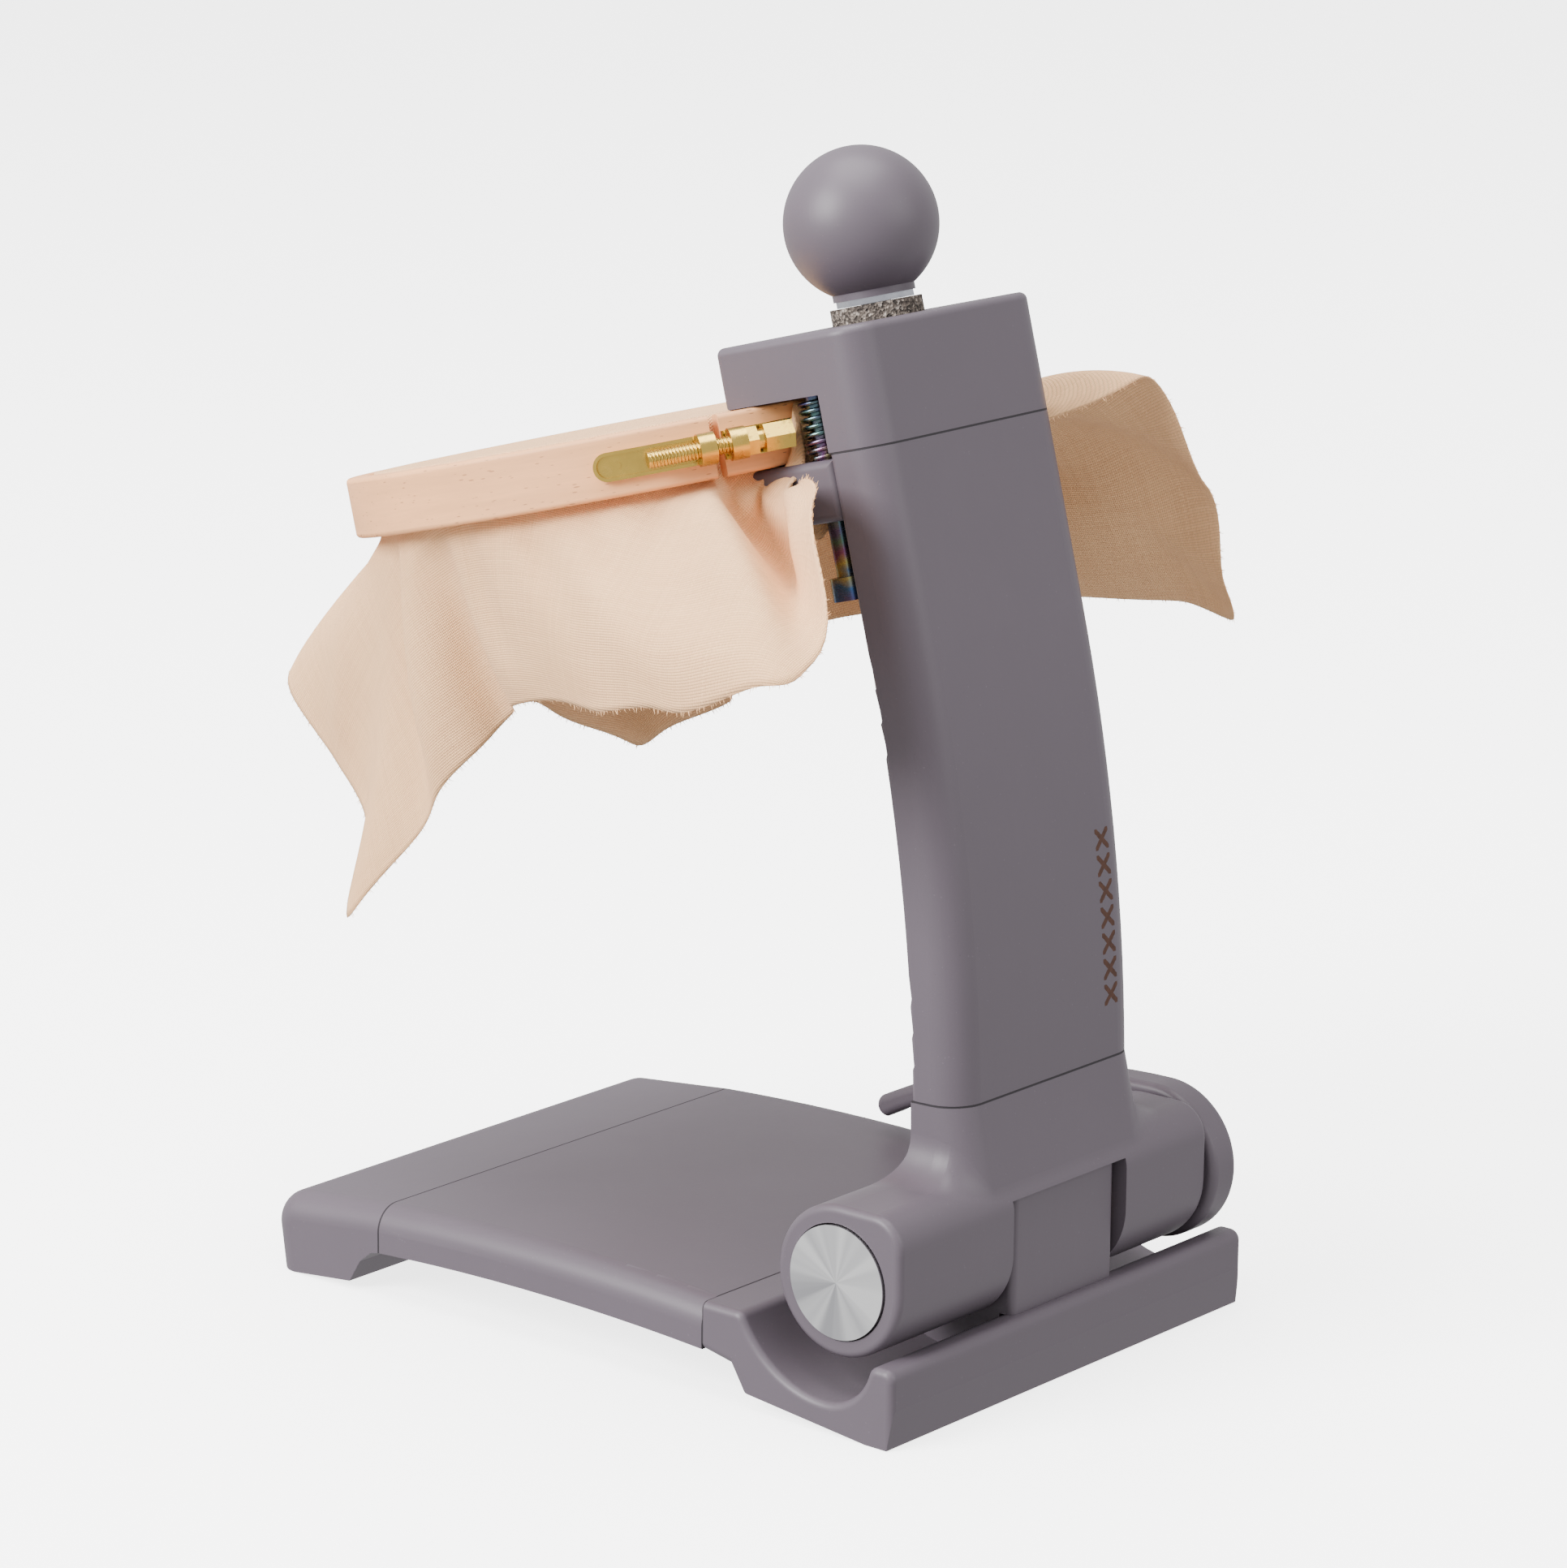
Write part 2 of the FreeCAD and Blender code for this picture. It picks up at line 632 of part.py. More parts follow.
def head():
    """The head: an L-shaped block whose nose is the fixed upper jaw."""
    body = new_body("head_block")
    outline(sketch_on(body, "YZ_Plane", "SideOutline"), [
        ("-nose_depth", "nip_gap / 2"),
        ("0", "nip_gap / 2"),
        ("0", "-head_seam_drop"),
        ("arm_thickness", "-head_seam_drop"),
        ("arm_thickness", "head_height"),
        ("-nose_depth", "head_height"),
    ])
    pad(body, body.Group[-1], "2 * arm_half_width")
    half = size("arm_half_width")
    fillet(body, "arm_back_round", lambda edge, middle: near(abs(middle.x), half)
           and near(middle.y, size("arm_thickness")))
    fillet(body, "edge_round", lambda edge, middle: near(middle.z, size("head_height"))
           or (near(middle.y, -size("nose_depth"))))
    bore(body, "XY_Plane", "0", "0", "-knob_axis_setback", "rod_hole_radius", "2 * head_height")
    for side in ("-guide_spread", "guide_spread"):
        bore(body, "XY_Plane", "nip_gap / 2", side, "-knob_axis_setback", "guide_insert_radius",
             "guide_insert_depth")
    for side in ("-arm_dowel_spread", "arm_dowel_spread"):
        bore(body, "XY_Plane", "-head_seam_drop", side, "arm_thickness / 2", "arm_dowel_radius",
             "arm_dowel_depth")
    body.Placement = in_head(0, 0, 0)
    return body


def jaw():
    """The lower jaw: it slides on the two guide bolts and is drawn up by the knob's rod."""
    body = new_body("lower_jaw")
    outline(sketch_on(body, "XY_Plane", "Plan"), [
        ("-jaw_half_width", "-nose_depth"),
        ("jaw_half_width", "-nose_depth"),
        ("jaw_half_width", "-jaw_back_gap"),
        ("-jaw_half_width", "-jaw_back_gap"),
    ])
    pad(body, body.Group[-1], "jaw_thickness")
    fillet(body, "edge_round", lambda edge, middle: middle.y < -size("jaw_back_gap") - 1
           or runs_along(edge, Z_AXIS))
    bore(body, "XY_Plane", "0", "0", "-knob_axis_setback", "rod_hole_radius", "jaw_thickness")
    bore(body, "XY_Plane", "-jaw_thickness / 2", "0", "-knob_axis_setback", "jaw_insert_radius",
         "guide_insert_depth")
    for side in ("-guide_spread", "guide_spread"):
        bore(body, "XY_Plane", "0", side, "-knob_axis_setback", "guide_bolt_radius + guide_hole_gap",
             "jaw_thickness")
    body.Placement = in_head(0, 0, -(size("nip_gap") + size("jaw_thickness")) / 2)
    return body


def spring(node, x_place):
    """A coil spring between the jaws, round its guide bolt."""
    wire = size("spring_wire")
    coil_height = size("nip_gap") - 2 * wire - size("spring_play")
    radius = size("spring_radius")
    path = Part.makeHelix(size("spring_pitch"), coil_height, radius)
    section = Part.Wire(Part.makeCircle(wire, V(radius, 0, 0), Y_AXIS))
    obj = doc.addObject("Part::Feature", node)
    obj.Shape = Part.Wire(path).makePipeShell([section], True, True)
    obj.Placement = in_head(x_place, -size("knob_axis_setback"), -coil_height / 2)
    return keep(obj, node)


def guide_bolts():
    """Two socket-head bolts that guide the lower jaw, with their inserts and springs."""
    head_top = -value_of("nip_gap / 2 + jaw_thickness + jaw_travel") - size("side_clearance")
    for index, x_place in enumerate((-size("guide_spread"), size("guide_spread")), start=1):
        y_place = -size("knob_axis_setback")
        shank = cylinder(f"guide_shank_{index}", "guide_bolt_radius",
                         f"{-head_top} + nip_gap / 2 + guide_insert_depth - 1",
                         in_head(x_place, y_place, head_top))
        head_place = in_head(x_place, y_place, head_top - size("guide_head_height"))
        cap = cylinder(f"guide_head_{index}", "guide_head_radius", "guide_head_height", head_place)
        socket = doc.addObject("Part::Prism", f"guide_socket_{index}")
        bind(socket, "Circumradius", "guide_head_radius * socket_share")
        bind(socket, "Height", "guide_head_height / 2")
        socket.Placement = head_place
        bolt = doc.addObject("Part::Cut", f"guide_bolt_{index}")
        bolt.Base = join(f"guide_blank_{index}", [shank, cap])
        bolt.Tool = socket
        keep(bolt, f"guide_bolt_{index}")
        tube(f"guide_insert_{index}", "guide_insert_radius", "guide_bolt_radius", "guide_insert_depth",
             in_head(x_place, y_place, size("nip_gap") / 2))
        spring(f"jaw_spring_{index}", x_place)


def knob():
    """The ball knob, its hexagon insert and the rod that draws the lower jaw up."""
    y_place = -size("knob_axis_setback")
    tube("foam_washer", "foam_radius", "rod_hole_radius", "foam_thickness",
         in_head(0, y_place, size("head_height")))
    flange_base = value_of("head_height + foam_thickness + flange_gap")
    flange = doc.addObject("Part::Prism", "insert_flange")
    bind(flange, "Circumradius", "flange_radius")
    bind(flange, "Height", "flange_thickness")
    flange.Placement = in_head(0, y_place, flange_base)
    collar_base = flange_base + size("flange_thickness")
    barrel = cylinder("insert_barrel", "jaw_insert_radius", "insert_barrel_length",
                      in_head(0, y_place, collar_base))
    bottom = -value_of("nip_gap / 2 + jaw_thickness + rod_below_jaw")
    rod = cylinder("clamp_rod", "rod_radius", f"{collar_base - bottom} + rod_in_ball",
                   in_head(0, y_place, bottom))
    keep(rod, "clamp_rod")
    insert = doc.addObject("Part::Cut", "knob_insert")
    insert.Base = join("insert_blank", [flange, barrel])
    insert.Tool = rod
    keep(insert, "knob_insert")
    centre = collar_base + value_of("ball_collar_height + sqrt(ball_radius ^ 2 - ball_collar_radius ^ 2)")
    ball = doc.addObject("Part::Sphere", "ball")
    bind(ball, "Radius", "ball_radius")
    bind(ball, "Angle1", "-acos(ball_collar_radius / ball_radius)")
    ball.Placement = in_head(0, y_place, centre)
    collar = cylinder("ball_collar", "ball_collar_radius", "ball_collar_height",
                      in_head(0, y_place, collar_base))
    shaped = doc.addObject("Part::Cut", "ball_knob")
    shaped.Base = join("ball_blank", [ball, collar])
    shaped.Tool = join("ball_hole", [barrel, rod])
    keep(shaped, "ball_knob")


def arm_hardware():
    """Dowels of the arm, and the jaw's threaded insert."""
    seam = value_of(FORK_TOP_FRONT[1])
    reach = size("arm_dowel_depth") - size("dowel_short")
    for index, side in enumerate((-1, 1), start=1):
        place = V(side * size("arm_dowel_spread"), value_of(ARM_MIDDLE_AT_FORK), seam - reach)
        keep(cylinder(f"fork_dowel_{index}", "arm_dowel_radius", "2 * (arm_dowel_depth - dowel_short)",
                      turned(Z_AXIS, 0, place)), f"fork_dowel_{index}")
        keep(head_dowel(f"head_dowel_{index}", side, size("dowel_short")), f"head_dowel_{index}")
    tube("jaw_insert", "jaw_insert_radius", "rod_radius + running_clearance", "guide_insert_depth",
         in_head(0, -size("knob_axis_setback"), -value_of("nip_gap / 2 + jaw_thickness")))


# ---------------------------------------------------------------- hinge hardware
def hinge_hardware():
    """Everything on the hinge line: cap, bushes, washers, bolt and its cross pin."""
    slot = size("slot_width") / 2
    shoulder = slot + size("bush_depth")
    washer = size("washer_thickness")
    keep(cylinder("hinge_cap", "cap_radius", "cap_thickness",
                  along_x(value_of("barrel_cap_side + cap_proud - cap_thickness"))), "hinge_cap")
    bush_hole = "bolt_radius + running_clearance"
    tube("fork_bush_cap", "bush_radius", bush_hole, "bush_depth", along_x(slot))
    tube("fork_bush_lever", "bush_radius", bush_hole, "barrel_lever_side - slot_width / 2",
         along_x(-size("barrel_lever_side")))
    thickness = "(slot_width - lug_width) / 2 - side_clearance"
    loose_hole = "bolt_radius + side_clearance"
    tube("friction_washer_cap", "friction_washer_radius", loose_hole, thickness,
         along_x(slot - value_of(thickness)))
    tube("friction_washer_lever", "friction_washer_radius", loose_hole, thickness, along_x(-slot))
    tube("bolt_washer", "counterbore_radius - side_clearance", loose_hole, "washer_thickness",
         along_x(shoulder))
    head_start = shoulder + washer + size("side_clearance")
    shank = cylinder("bolt_shank", "bolt_radius", f"bolt_end + {head_start}", along_x(-size("bolt_end")))
    cap = cylinder("bolt_head", "bolt_head_radius", "bolt_head_height", along_x(head_start))
    pin_place = turned(Z_AXIS, 0, V(0, 0, value_of("hinge_height - cross_pin_reach")))
    pin = keep(cylinder("cross_pin", "cross_pin_radius", "2 * cross_pin_reach", pin_place), "cross_pin")
    bolt = doc.addObject("Part::Cut", "hinge_bolt")
    bolt.Base = join("bolt_blank", [shank, cap])
    bolt.Tool = pin
    keep(bolt, "hinge_bolt")


def base_hardware():
    """The dowels between the boards and the two screws under the lug."""
    reach = size("dowel_depth") - size("dowel_short")
    for seam_name in ("front", "rear"):
        seam = size(f"{seam_name}_seam")
        for index, side in enumerate((-1, 1), start=1):
            node = f"{seam_name}_dowel_{index}"
            start = V(side * size("dowel_spread"), seam - reach, value_of(DOWEL_HEIGHT))
            place = turned(X_AXIS, -90, start)
            keep(cylinder(node, "dowel_radius", "2 * (dowel_depth - dowel_short)", place), node)
    for index, side in enumerate((-1, 1), start=1):
        x_place = side * size("lug_screw_spread")
        y_place = size("trough_middle")
        foot = value_of("lug_screw_head_height")
        shank = cylinder(f"lug_screw_shank_{index}", "lug_screw_radius",
                         "lug_screw_top - lug_screw_head_height - dowel_short",
                         turned(Z_AXIS, 0, V(x_place, y_place, foot)))
        cap = cylinder(f"lug_screw_cap_{index}", "lug_screw_head", "lug_screw_head_height",
                       turned(Z_AXIS, 0, V(x_place, y_place, foot)))
        keep(join(f"lug_screw_{index}", [shank, cap]), f"lug_screw_{index}")


def lever():
    """The lock lever: a comma-shaped board on the far end of the bolt, with a washer and insert."""
    body = new_body("lock_lever")
    inner_face = "barrel_lever_side + side_clearance + washer_thickness"
    plane = f"-({inner_face} + lever_thickness / 2)"
    crown = "hinge_height + lever_hub_radius"
    neck = "lever_reach - lever_tip_setback"
    tip_top = f"{crown} - lever_top_radius + sqrt(lever_top_radius ^ 2 - ({neck}) ^ 2)"
    outline(sketch_on(body, "YZ_Plane", "SideOutline", plane), [
        ("0", crown, "lever_top_radius", "left"),
        (f"-({neck})", tip_top, "lever_tip_radius", "left"),
        (f"-({neck}) + lever_tip_undercut", f"{tip_top} - lever_tip_depth",
         "lever_belly_radius", "right"),
        ("-lever_hub_radius * cos(16 deg)", "hinge_height - lever_hub_radius * sin(16 deg)",
         "lever_hub_radius", "left"),
        ("0", "hinge_height - lever_hub_radius", "lever_hub_radius", "left"),
        ("lever_hub_radius", "hinge_height", "lever_hub_radius", "left"),
    ])
    pad(body, body.Group[-1], "lever_thickness")
    middle_plane = value_of(plane)
    half = size("lever_thickness") / 2
    fillet(body, "lever_round", lambda edge, middle: near(abs(middle.x - middle_plane), half))
    bore(body, "YZ_Plane", f"-({inner_face})", "0", "hinge_height", "insert_radius", "insert_depth")
    inner = value_of(inner_face)
    tube("lever_washer", "counterbore_radius + side_clearance", "bolt_radius + side_clearance",
         "washer_thickness", along_x(-inner))
    tube("lever_insert", "insert_radius", "bolt_radius + running_clearance", "insert_depth",
         along_x(-inner - size("insert_depth")))
    return body


# ---------------------------------------------------------------- hoop
def in_hoop(angle=0, radius=0, z_place=0, axis=Z_AXIS, turn=0):
    """A placement on the hoop: turned to an angle about its middle, then moved out to a radius."""
    frame = in_head(0, -size("hoop_setback"), 0).multiply(turned(Z_AXIS, angle))
    return frame.multiply(turned(axis, turn, V(radius, 0, z_place)))


def ring_body(name, outer, inner, bottom, top):
    """A turned wooden ring with softened edges, about the hoop's middle."""
    body = doc.addObject("PartDesign::Body", name)
    sketch = outline(sketch_on(body, "XZ_Plane", "Section"), [
        (inner, bottom), (outer, bottom), (outer, top), (inner, top)])
    revolve = body.newObject("PartDesign::Revolution", "Turning")
    revolve.Profile = sketch
    axis = [item for item in body.Origin.OriginFeatures if item.Role == "Z_Axis"][0]
    revolve.ReferenceAxis = (axis, [""])
    revolve.Angle = FULL_TURN
    doc.recompute()
    fillet(body, "ring_round", lambda edge, middle: isinstance(edge.Curve, Part.Circle))
    body.Placement = in_hoop()
    return body


def sector(inner, outer, half_height, start_angle, end_angle, grow=0.0):
    """Part of a ring's wall, with a round end at its start, in the hoop's own frame."""
    low = -half_height
    sweep = end_angle - start_angle
    wall = Part.makeCylinder(outer, 2 * half_height, V(0, 0, low), Z_AXIS, sweep)
    wall = wall.cut(Part.makeCylinder(inner, 2 * half_height, V(0, 0, low)))
    wall.rotate(V(0, 0, 0), Z_AXIS, start_angle)
    full = Part.makeCylinder(outer, 2 * half_height, V(0, 0, low))
    full = full.cut(Part.makeCylinder(inner, 2 * half_height, V(0, 0, low)))
    out = V(math.cos(math.radians(start_angle)), math.sin(math.radians(start_angle)), 0)
    end = Part.makeCylinder(half_height, outer - inner + 4, out * (inner - 2), out).common(full)
    return wall.fuse(end)


def mirror_angle(angle, side):
    """An angle on the free side of the split (-1), or its mirror on the screw-head side (1)."""
    return size("screw_angle") + side * angle


def plate(node, side):
    """A brass plate: a rimmed strip on the ring's wall that ends in an eyelet for the screw."""
    radius = size("hoop_radius")
    face = radius + size("plate_thickness")
    rim = size("plate_rim")
    half = size("plate_height") / 2
    gap_angle = math.degrees(size("hoop_gap_width") / 2 / radius)
    end_angle = -(size("plate_angle") + gap_angle)
    strip = sector(radius, face, half, end_angle, -gap_angle)
    edge = sector(face, face + rim, half, end_angle, -gap_angle)
    edge = edge.cut(sector(face - 0.1, face + rim + 0.1, half - rim, end_angle, -gap_angle + 1))
    seat = V(screw_radius(), -(size("eyelet_spacing") + size("eyelet_length")) / 2, 0)
    eyelet = Part.makeCylinder(size("eyelet_radius"), size("eyelet_length"), seat, Y_AXIS)
    shape = strip.fuse([edge, eyelet])
    hole_radius = size("hoop_screw_radius") + size("running_clearance")
    hole = Part.makeCylinder(hole_radius, 3 * size("eyelet_spacing"),
                             seat - Y_AXIS * size("eyelet_spacing"), Y_AXIS)
    shape = shape.cut(hole).cut(Part.makeCylinder(radius, 2 * half + 4, V(0, 0, -half - 2)))
    if side > 0:
        shape = shape.mirror(V(0, 0, 0), Y_AXIS)
    obj = doc.addObject("Part::Feature", f"{node}_blank")
    obj.Shape = shape
    obj.Placement = in_hoop(size("screw_angle"))
    return obj


def screw_radius():
    """How far the hoop screw's line is from the hoop's middle."""
    return value_of("hoop_radius + plate_thickness + eyelet_radius - eyelet_overlap")


def hoop():
    """The split outer ring, the inner ring, both brass plates and the pins that hold them."""
    outer = ring_body("outer_ring_blank", "hoop_radius", "hoop_radius - outer_ring_wall",
                      "-hoop_height / 2", "hoop_height / 2")
    pins = []
    plates = {"plate_free": -1, "plate_head": 1}
    for node, side in plates.items():
        blank = plate(node, side)
        holes = []
        for index, share in enumerate((0.35, 0.95), start=1):
            angle = mirror_angle(size("plate_angle") * share, side)
            tip = size("hoop_radius") + size("plate_thickness") + size("pin_head_proud")
            start = tip - size("plate_pin_length")
            pin = cylinder(f"{node}_pin_{index}", "plate_pin_radius", "plate_pin_length",
                           in_hoop(angle, start, 0, Y_AXIS, 90))
            holes.append(keep(pin, f"{node}_pin_{index}"))
        cut = doc.addObject("Part::Cut", node)
        cut.Base = blank
        cut.Tool = join(f"{node}_holes", holes)
        keep(cut, node)
        pins += holes
    split = doc.addObject("Part::Box", "ring_split")
    bind(split, "Length", "3 * outer_ring_wall")
    bind(split, "Width", "hoop_gap_width")
    bind(split, "Height", "2 * hoop_height")
    split.Placement = in_hoop(size("screw_angle")).multiply(
        turned(Z_AXIS, 0, V(value_of("hoop_radius - 2 * outer_ring_wall"),
                            -size("hoop_gap_width") / 2, -size("hoop_height"))))
    ring = doc.addObject("Part::Cut", "hoop_outer_ring")
    ring.Base = outer
    ring.Tool = join("ring_cuts", pins + [split])
    keep(ring, "hoop_outer_ring")
    keep(ring_body("hoop_inner_ring", INNER_RADIUS, f"{INNER_RADIUS} - inner_ring_wall",
                   "-hoop_height / 2", "hoop_height / 2 - cloth_thickness"), "hoop_inner_ring")


INNER_RADIUS = "(hoop_radius - outer_ring_wall - cloth_thickness)"


def hoop_screw():
    """The hoop's screw, its hexagon nut and its slotted hexagon head, along the ring's tangent."""
    start = -size("hoop_screw_tail")
    nut_start = value_of("(eyelet_spacing + eyelet_length) / 2 + flange_gap")
    neck_start = nut_start + size("screw_nut_length")
    head_start = neck_start + size("screw_neck_length")
    half_flat = size("screw_head_across")

    def on_line(along):
        return in_hoop(size("screw_angle"), screw_radius()).multiply(
            turned(X_AXIS, -90, V(0, along, 0)))

    shank = cylinder("screw_shank", "hoop_screw_radius", f"{head_start - start} + 1", on_line(start))
    neck = cylinder("screw_neck", "screw_neck_radius", "screw_neck_length", on_line(neck_start))
    head = doc.addObject("Part::Prism", "screw_head")
    bind(head, "Circumradius", "screw_head_across / cos(30 deg)")
    bind(head, "Height", "screw_head_length")
    head.Placement = on_line(head_start)
    slot = doc.addObject("Part::Box", "screw_slot")
    bind(slot, "Length", "screw_slot_width")
    bind(slot, "Width", "4 * screw_head_across")
    bind(slot, "Height", "2 * screw_slot_depth")
    end = head_start + size("screw_head_length") - size("screw_slot_depth")
    slot.Placement = on_line(end).multiply(
        turned(Z_AXIS, 0, V(-size("screw_slot_width") / 2, -2 * half_flat, 0)))
    screw = doc.addObject("Part::Cut", "hoop_screw")
    screw.Base = join("screw_blank", [shank, neck, head])
    screw.Tool = slot
    keep(screw, "hoop_screw")
    nut = doc.addObject("Part::Prism", "nut_blank")
    bind(nut, "Circumradius", "screw_head_across / cos(30 deg)")
    bind(nut, "Height", "screw_nut_length")
    nut.Placement = on_line(nut_start)
    holed = doc.addObject("Part::Cut", "screw_nut")
    holed.Base = nut
    holed.Tool = shank
    keep(holed, "screw_nut")


# ---------------------------------------------------------------- cloth
def stretched_cloth():
    """The stretched cloth: a flat disc over the inner ring, and its wrap down between the rings."""
    bottom = -size("hoop_height") / 2
    keep(cylinder("cloth_top", INNER_RADIUS, "cloth_thickness",
                  in_hoop(0, 0, -bottom - size("cloth_thickness"))), "cloth_top")
    tube("cloth_wrap", "hoop_radius - outer_ring_wall", INNER_RADIUS, "hoop_height", in_hoop(0, 0, bottom))


CLOTH_FOLDS = 8
CLOTH_STEPS = 48
CLOTH_ROWS = 5
CLOTH_OPENING = (58.0, 122.0)
CLOTH_CORNER = 50.0


def hanging_point(angle, share, inset):
    """A point of the hanging cloth, at an angle on the hoop and a share of the way to its hem."""
    from_corner = math.radians((angle - CLOTH_CORNER) % 90 - 45)
    sheet_reach = size("cloth_side") / 2 / math.cos(from_corner)
    start_radius = size("hoop_radius") - size("outer_ring_wall") / 2
    drop = (sheet_reach - start_radius) * share
    flare = size("cloth_flare") + size("cloth_fold") * math.cos(math.radians(CLOTH_FOLDS * angle))
    radius = start_radius + flare * drop - inset
    top = -size("hoop_height") / 2 - size("cloth_clearance")
    start = in_hoop(angle, radius, top).Base
    return start - Z_AXIS * (size("cloth_fall") * drop)


def hanging_cloth():
    """The hanging cloth: one thick sheet round the hoop, open where the jaws hold the ring."""
    first = CLOTH_OPENING[1]
    sweep = FULL_TURN - CLOTH_OPENING[1] + CLOTH_OPENING[0]
    angles = [first + sweep * step / CLOTH_STEPS for step in range(CLOTH_STEPS + 1)]
    shares = [row / (CLOTH_ROWS - 1) for row in range(CLOTH_ROWS)]
    outside = [[hanging_point(angle, share, 0) for share in shares] for angle in angles]
    inside = [[hanging_point(angle, share, size("cloth_wall")) for share in shares] for angle in angles]
    quads = []
    for step in range(CLOTH_STEPS):
        for row in range(CLOTH_ROWS - 1):
            for grid in (outside, inside):
                quads.append((grid[step][row], grid[step + 1][row], grid[step + 1][row + 1],
                              grid[step][row + 1]))
        for row in (0, -1):
            quads.append((outside[step][row], outside[step + 1][row], inside[step + 1][row],
                          inside[step][row]))
    for end in (0, -1):
        for row in range(CLOTH_ROWS - 1):
            quads.append((outside[end][row], outside[end][row + 1], inside[end][row + 1],
                          inside[end][row]))
    faces = []
    for corners in quads:
        for triangle in ((corners[0], corners[1], corners[2]), (corners[0], corners[2], corners[3])):
            faces.append(Part.Face(Part.makePolygon([*triangle, triangle[0]])))
    shell = Part.makeShell(faces)
    solid = Part.Solid(shell)
    if solid.Volume < 0:
        solid.reverse()
    obj = doc.addObject("Part::Feature", "cloth_hanging")
    obj.Shape = solid
    keep(obj, "cloth_hanging")


# ---------------------------------------------------------------- build, check and write
def main():
    front_board()
    middle_board()
    rear_board()
    hinge_lug()
    base_hardware()
    fork()
    column()
    head()
    arm_hardware()
    hinge_hardware()
    lever()
    jaw()
    guide_bolts()
    knob()
    hoop()
    hoop_screw()
    stretched_cloth()
    hanging_cloth()
    doc.recompute()
    for obj in doc.Objects:
        if "Invalid" in obj.State or "Error" in obj.State:
            raise RuntimeError(f"{obj.Label}: {obj.State}")
    for node, obj in parts.items():
        if obj.Shape.isNull() or not obj.Shape.isValid():
            raise RuntimeError(f"{node} has no valid shape")
    os.makedirs("parts", exist_ok=True)
    for node, obj in parts.items():
        obj.Shape.exportStep(f"parts/{node}.step")
        print(node, round(obj.Shape.Volume), len(obj.Shape.Solids))


main()
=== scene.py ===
"""Embroidery hoop on a table stand: its finishes, its linen and its threads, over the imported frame."""
import json
import math
import random

import bmesh
import bpy
from mathutils import Matrix, Vector


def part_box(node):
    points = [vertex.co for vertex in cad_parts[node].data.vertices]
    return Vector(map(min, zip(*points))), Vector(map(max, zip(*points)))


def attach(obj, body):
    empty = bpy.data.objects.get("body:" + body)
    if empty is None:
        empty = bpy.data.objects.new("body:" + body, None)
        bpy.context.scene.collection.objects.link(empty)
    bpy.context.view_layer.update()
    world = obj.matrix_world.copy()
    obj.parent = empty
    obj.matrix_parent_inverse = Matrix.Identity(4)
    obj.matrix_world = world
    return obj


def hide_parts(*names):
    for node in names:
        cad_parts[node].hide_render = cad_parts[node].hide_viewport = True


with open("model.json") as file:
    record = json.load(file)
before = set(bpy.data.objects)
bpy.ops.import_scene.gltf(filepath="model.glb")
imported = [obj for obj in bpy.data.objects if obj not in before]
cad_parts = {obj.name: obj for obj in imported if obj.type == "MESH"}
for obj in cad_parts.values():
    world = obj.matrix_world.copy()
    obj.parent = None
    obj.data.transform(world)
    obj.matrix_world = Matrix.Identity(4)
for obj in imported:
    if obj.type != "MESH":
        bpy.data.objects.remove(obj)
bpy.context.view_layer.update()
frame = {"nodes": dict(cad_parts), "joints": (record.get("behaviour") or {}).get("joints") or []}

bl_info = {
    "name": "Embroidery Hoop on Stand",
    "version": (1, 0, 0),
    "blender": (4, 5, 0),
    "location": "3D View > Sidebar > Hoop Stand",
    "description": "Finishes, linen, threads and stage of an embroidery hoop held by a table stand",
    "category": "Object",
}

MM = 0.001
NODES = frame["nodes"]
JOINTS = {joint["name"]: joint for joint in frame["joints"]}

# the leaning frame of the head: across the jaws, away from the arm's front, and up the arm
ACROSS = Vector((1, 0, 0))
ARM_UP = -Vector(JOINTS["jaw_slide"]["axis"])
ARM_BACK = -Vector(JOINTS["hoop_slide"]["axis"])


def middle_of(node):
    """The middle of a node's box, in metres."""
    low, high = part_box(node)
    return (low + high) / 2


def leaning_matrix(origin):
    """The matrix that takes the leaning frame of the head, moved to an origin, to the row frame."""
    turn = Matrix((ACROSS, ARM_BACK, ARM_UP)).transposed()
    return Matrix.Translation(origin) @ turn.to_4x4()


HOOP_FRAME = leaning_matrix(middle_of("hoop_outer_ring"))
HINGE = Vector(JOINTS["arm_tilt"]["pos_m"])
# how far the seam between the fork and the column leans
FORK_SLOPE = math.radians(1.8)
# the row of branded stitches: above the column's foot, in from its side, and how deep its back face lies
STITCH_RISE = 14 * MM
STITCH_INSET = 11.5 * MM
BACK_EDGE_DEPTH = 30 * MM


# ---------------------------------------------------------------- sizes and colours
def length(name, description, default):
    return bpy.props.FloatProperty(name=name, description=description, default=default, min=0.0,
                                   subtype="DISTANCE", unit="LENGTH", precision=5)


def colour(name, description, default):
    return bpy.props.FloatVectorProperty(name=name, description=description, default=default,
                                         size=3, min=0.0, max=1.0, subtype="COLOR")


